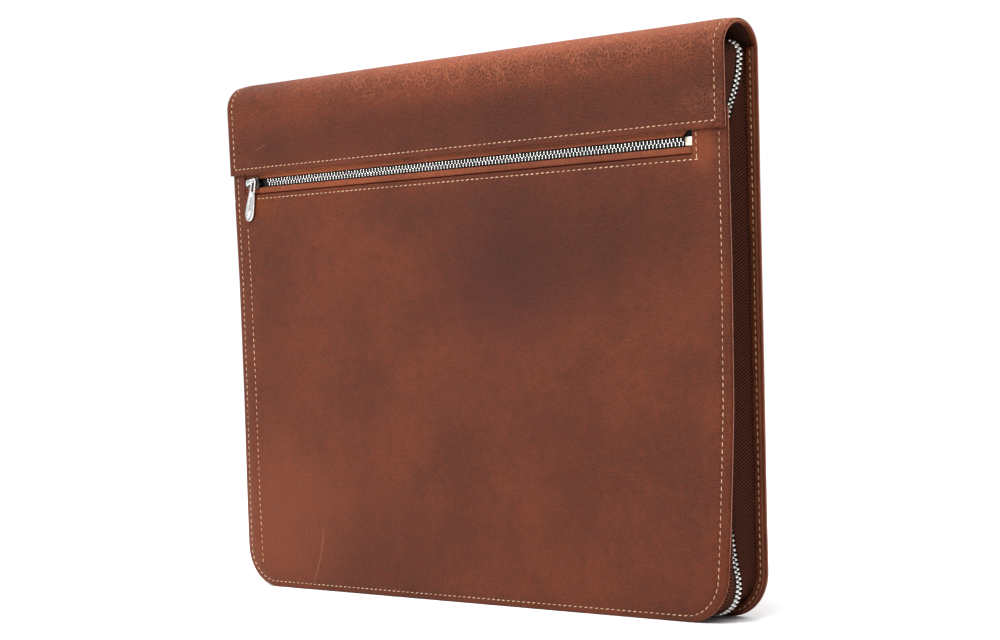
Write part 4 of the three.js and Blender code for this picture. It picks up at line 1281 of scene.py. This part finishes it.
def add_stitch(parts, centre, along, normal, slant):
    """One thread loop: a slim arched capsule whose ends sink into the leather."""
    across = normal.cross(along).normalized()
    turned = (along * math.cos(slant) + across * math.sin(slant)).normalized()
    side = normal.cross(turned).normalized()
    rings = []
    stations = ((-0.5, 0.45, -0.35), (-0.4, 0.85, 0.25), (-0.15, 1, 0.85), (0.15, 1, 0.85),
                (0.4, 0.85, 0.25), (0.5, 0.45, -0.35))
    for run, width, lift in stations:
        middle = centre + turned * (run * STITCH_LENGTH) + normal * (lift * STITCH_HEIGHT * 0.5)
        turns = [2 * math.pi * k / 6 for k in range(6)]
        rings.append([middle + side * (math.cos(a) * STITCH_WIDTH / 2 * width)
                      + normal * (math.sin(a) * STITCH_HEIGHT * 0.6 * width) for a in turns])
    parts.tube(rings)


def sew(parts, line, normal_at, start=0.6):
    """Stitches along a line of surface points, the first one a little way along it."""
    places = walk(line, STITCH_PITCH, start + STITCH_LENGTH / 2)
    for index, (place, along, key) in enumerate(places):
        normal = normal_at(key)
        slant = STITCH_SLANT + 0.05 * math.sin(index * 2.3)
        add_stitch(parts, place + normal * 0.02, along, normal, slant)


def u_line(seam, levels, half_width):
    """Flat points along a seam, from the top right round to the top left."""
    turns = [i / 20 * math.pi / 2 for i in range(21)]

    def corner(side, inset):
        points = []
        for a in turns:
            reach = CORNER_RADIUS - inset - (seam[1] - inset) * a / (math.pi / 2)
            points.append((side * (CORNER_X + reach * math.cos(a)), CORNER_RADIUS - reach * math.sin(a)))
        return points

    line = [(half_width(t) - seam[0], t) for t in reversed(levels)]
    line += corner(1, seam[0])
    line += [(x, seam[1]) for x in reversed(steps(-CORNER_X, CORNER_X, 4)[1:-1])]
    line += reversed(corner(-1, seam[2]))
    line += [(-(half_width(t) - seam[2]), t) for t in levels]
    return line


def normal_from(surface, flat_points):
    """Outward directions of a surface at flat points, from small steps."""
    normals = []
    for x, t in flat_points:
        here = Vector(surface(x, t))
        right = Vector(surface(x + 0.5, t)) - here
        up = Vector(surface(x, t + 0.5)) - here
        normals.append(right.cross(up).normalized())
    return normals


def sew_on(parts, surface, flat_points, outward, start=0.6):
    """Stitches along flat points of a leather sheet."""
    normals = normal_from(surface, flat_points)
    line = [Vector(surface(*p)) for p in flat_points]
    sew(parts, line, lambda key: normals[min(len(normals) - 1, round(key))] * outward, start)


def sew_panel():
    """Seams round the margin, under and beside the slot, and down the left."""
    def face(x, z):
        return panel_point(x, z, panel_relief(x, z))

    stitches = Parts()
    low = SLOT_BOTTOM - SLOT_STITCH
    right = SLOT_RIGHT + RIGHT_STITCH
    margin = u_line(PANEL_SEAM, steps(CORNER_RADIUS, BAND_BOTTOM - 1, 4), side_half_width)
    sew_on(stitches, face, margin, 1)
    sew_on(stitches, face, [(x, low) for x in steps(-161, right, 4)], 1, 0)
    sew_on(stitches, face, [(right, z) for z in steps(low, BAND_BOTTOM - 1.5, 2)], 1, 0.4)
    left = [(left_line_x(z), z) for z in reversed(steps(LEFT_LINE_LOW[1], 211, 4))]
    sew_on(stitches, face, left, 1)
    stitches.settle("panel_stitches", THREAD)


def sew_wrap():
    """Seams round the wrap's margin and along the band's lower edge."""
    def face(x, run):
        return wrap_point(x, run, wrap_relief(x, run))

    stitches = Parts()
    row = WRAP_RUN - BAND_STITCH
    sew_on(stitches, face, u_line(WRAP_SEAM, steps(CORNER_RADIUS, row, 1.5), wrap_half_width), -1)
    reach = wrap_half_width(row) - WRAP_SEAM[0]
    sew_on(stitches, face, [(x, row) for x in steps(-reach, reach, 4)], -1, 0.3)
    stitches.settle("wrap_stitches", THREAD)


def sew_facing():
    """Seam along the facing."""
    stitches = Parts()
    line = []
    for station in edge_route(3.0, curl=False, top=SPINE_LEVEL):
        y = back_inner(FACING_STITCH, station["z"]) - GAP - FACING_LEATHER + 0.2
        line.append(Vector(section_point(station, FACING_STITCH, y)))
    sew(stitches, line, lambda key: -AXES[1])
    stitches.settle("facing_stitches", THREAD)


for make in (make_camera, make_studio, make_wrap, make_front_panel, make_tapes, make_facing,
             make_main_chain, make_lips, make_pocket_teeth, make_slider_plate, make_slider_bridge,
             make_pull, finish_carried_nodes, sew_panel, sew_wrap, sew_facing):
    make()
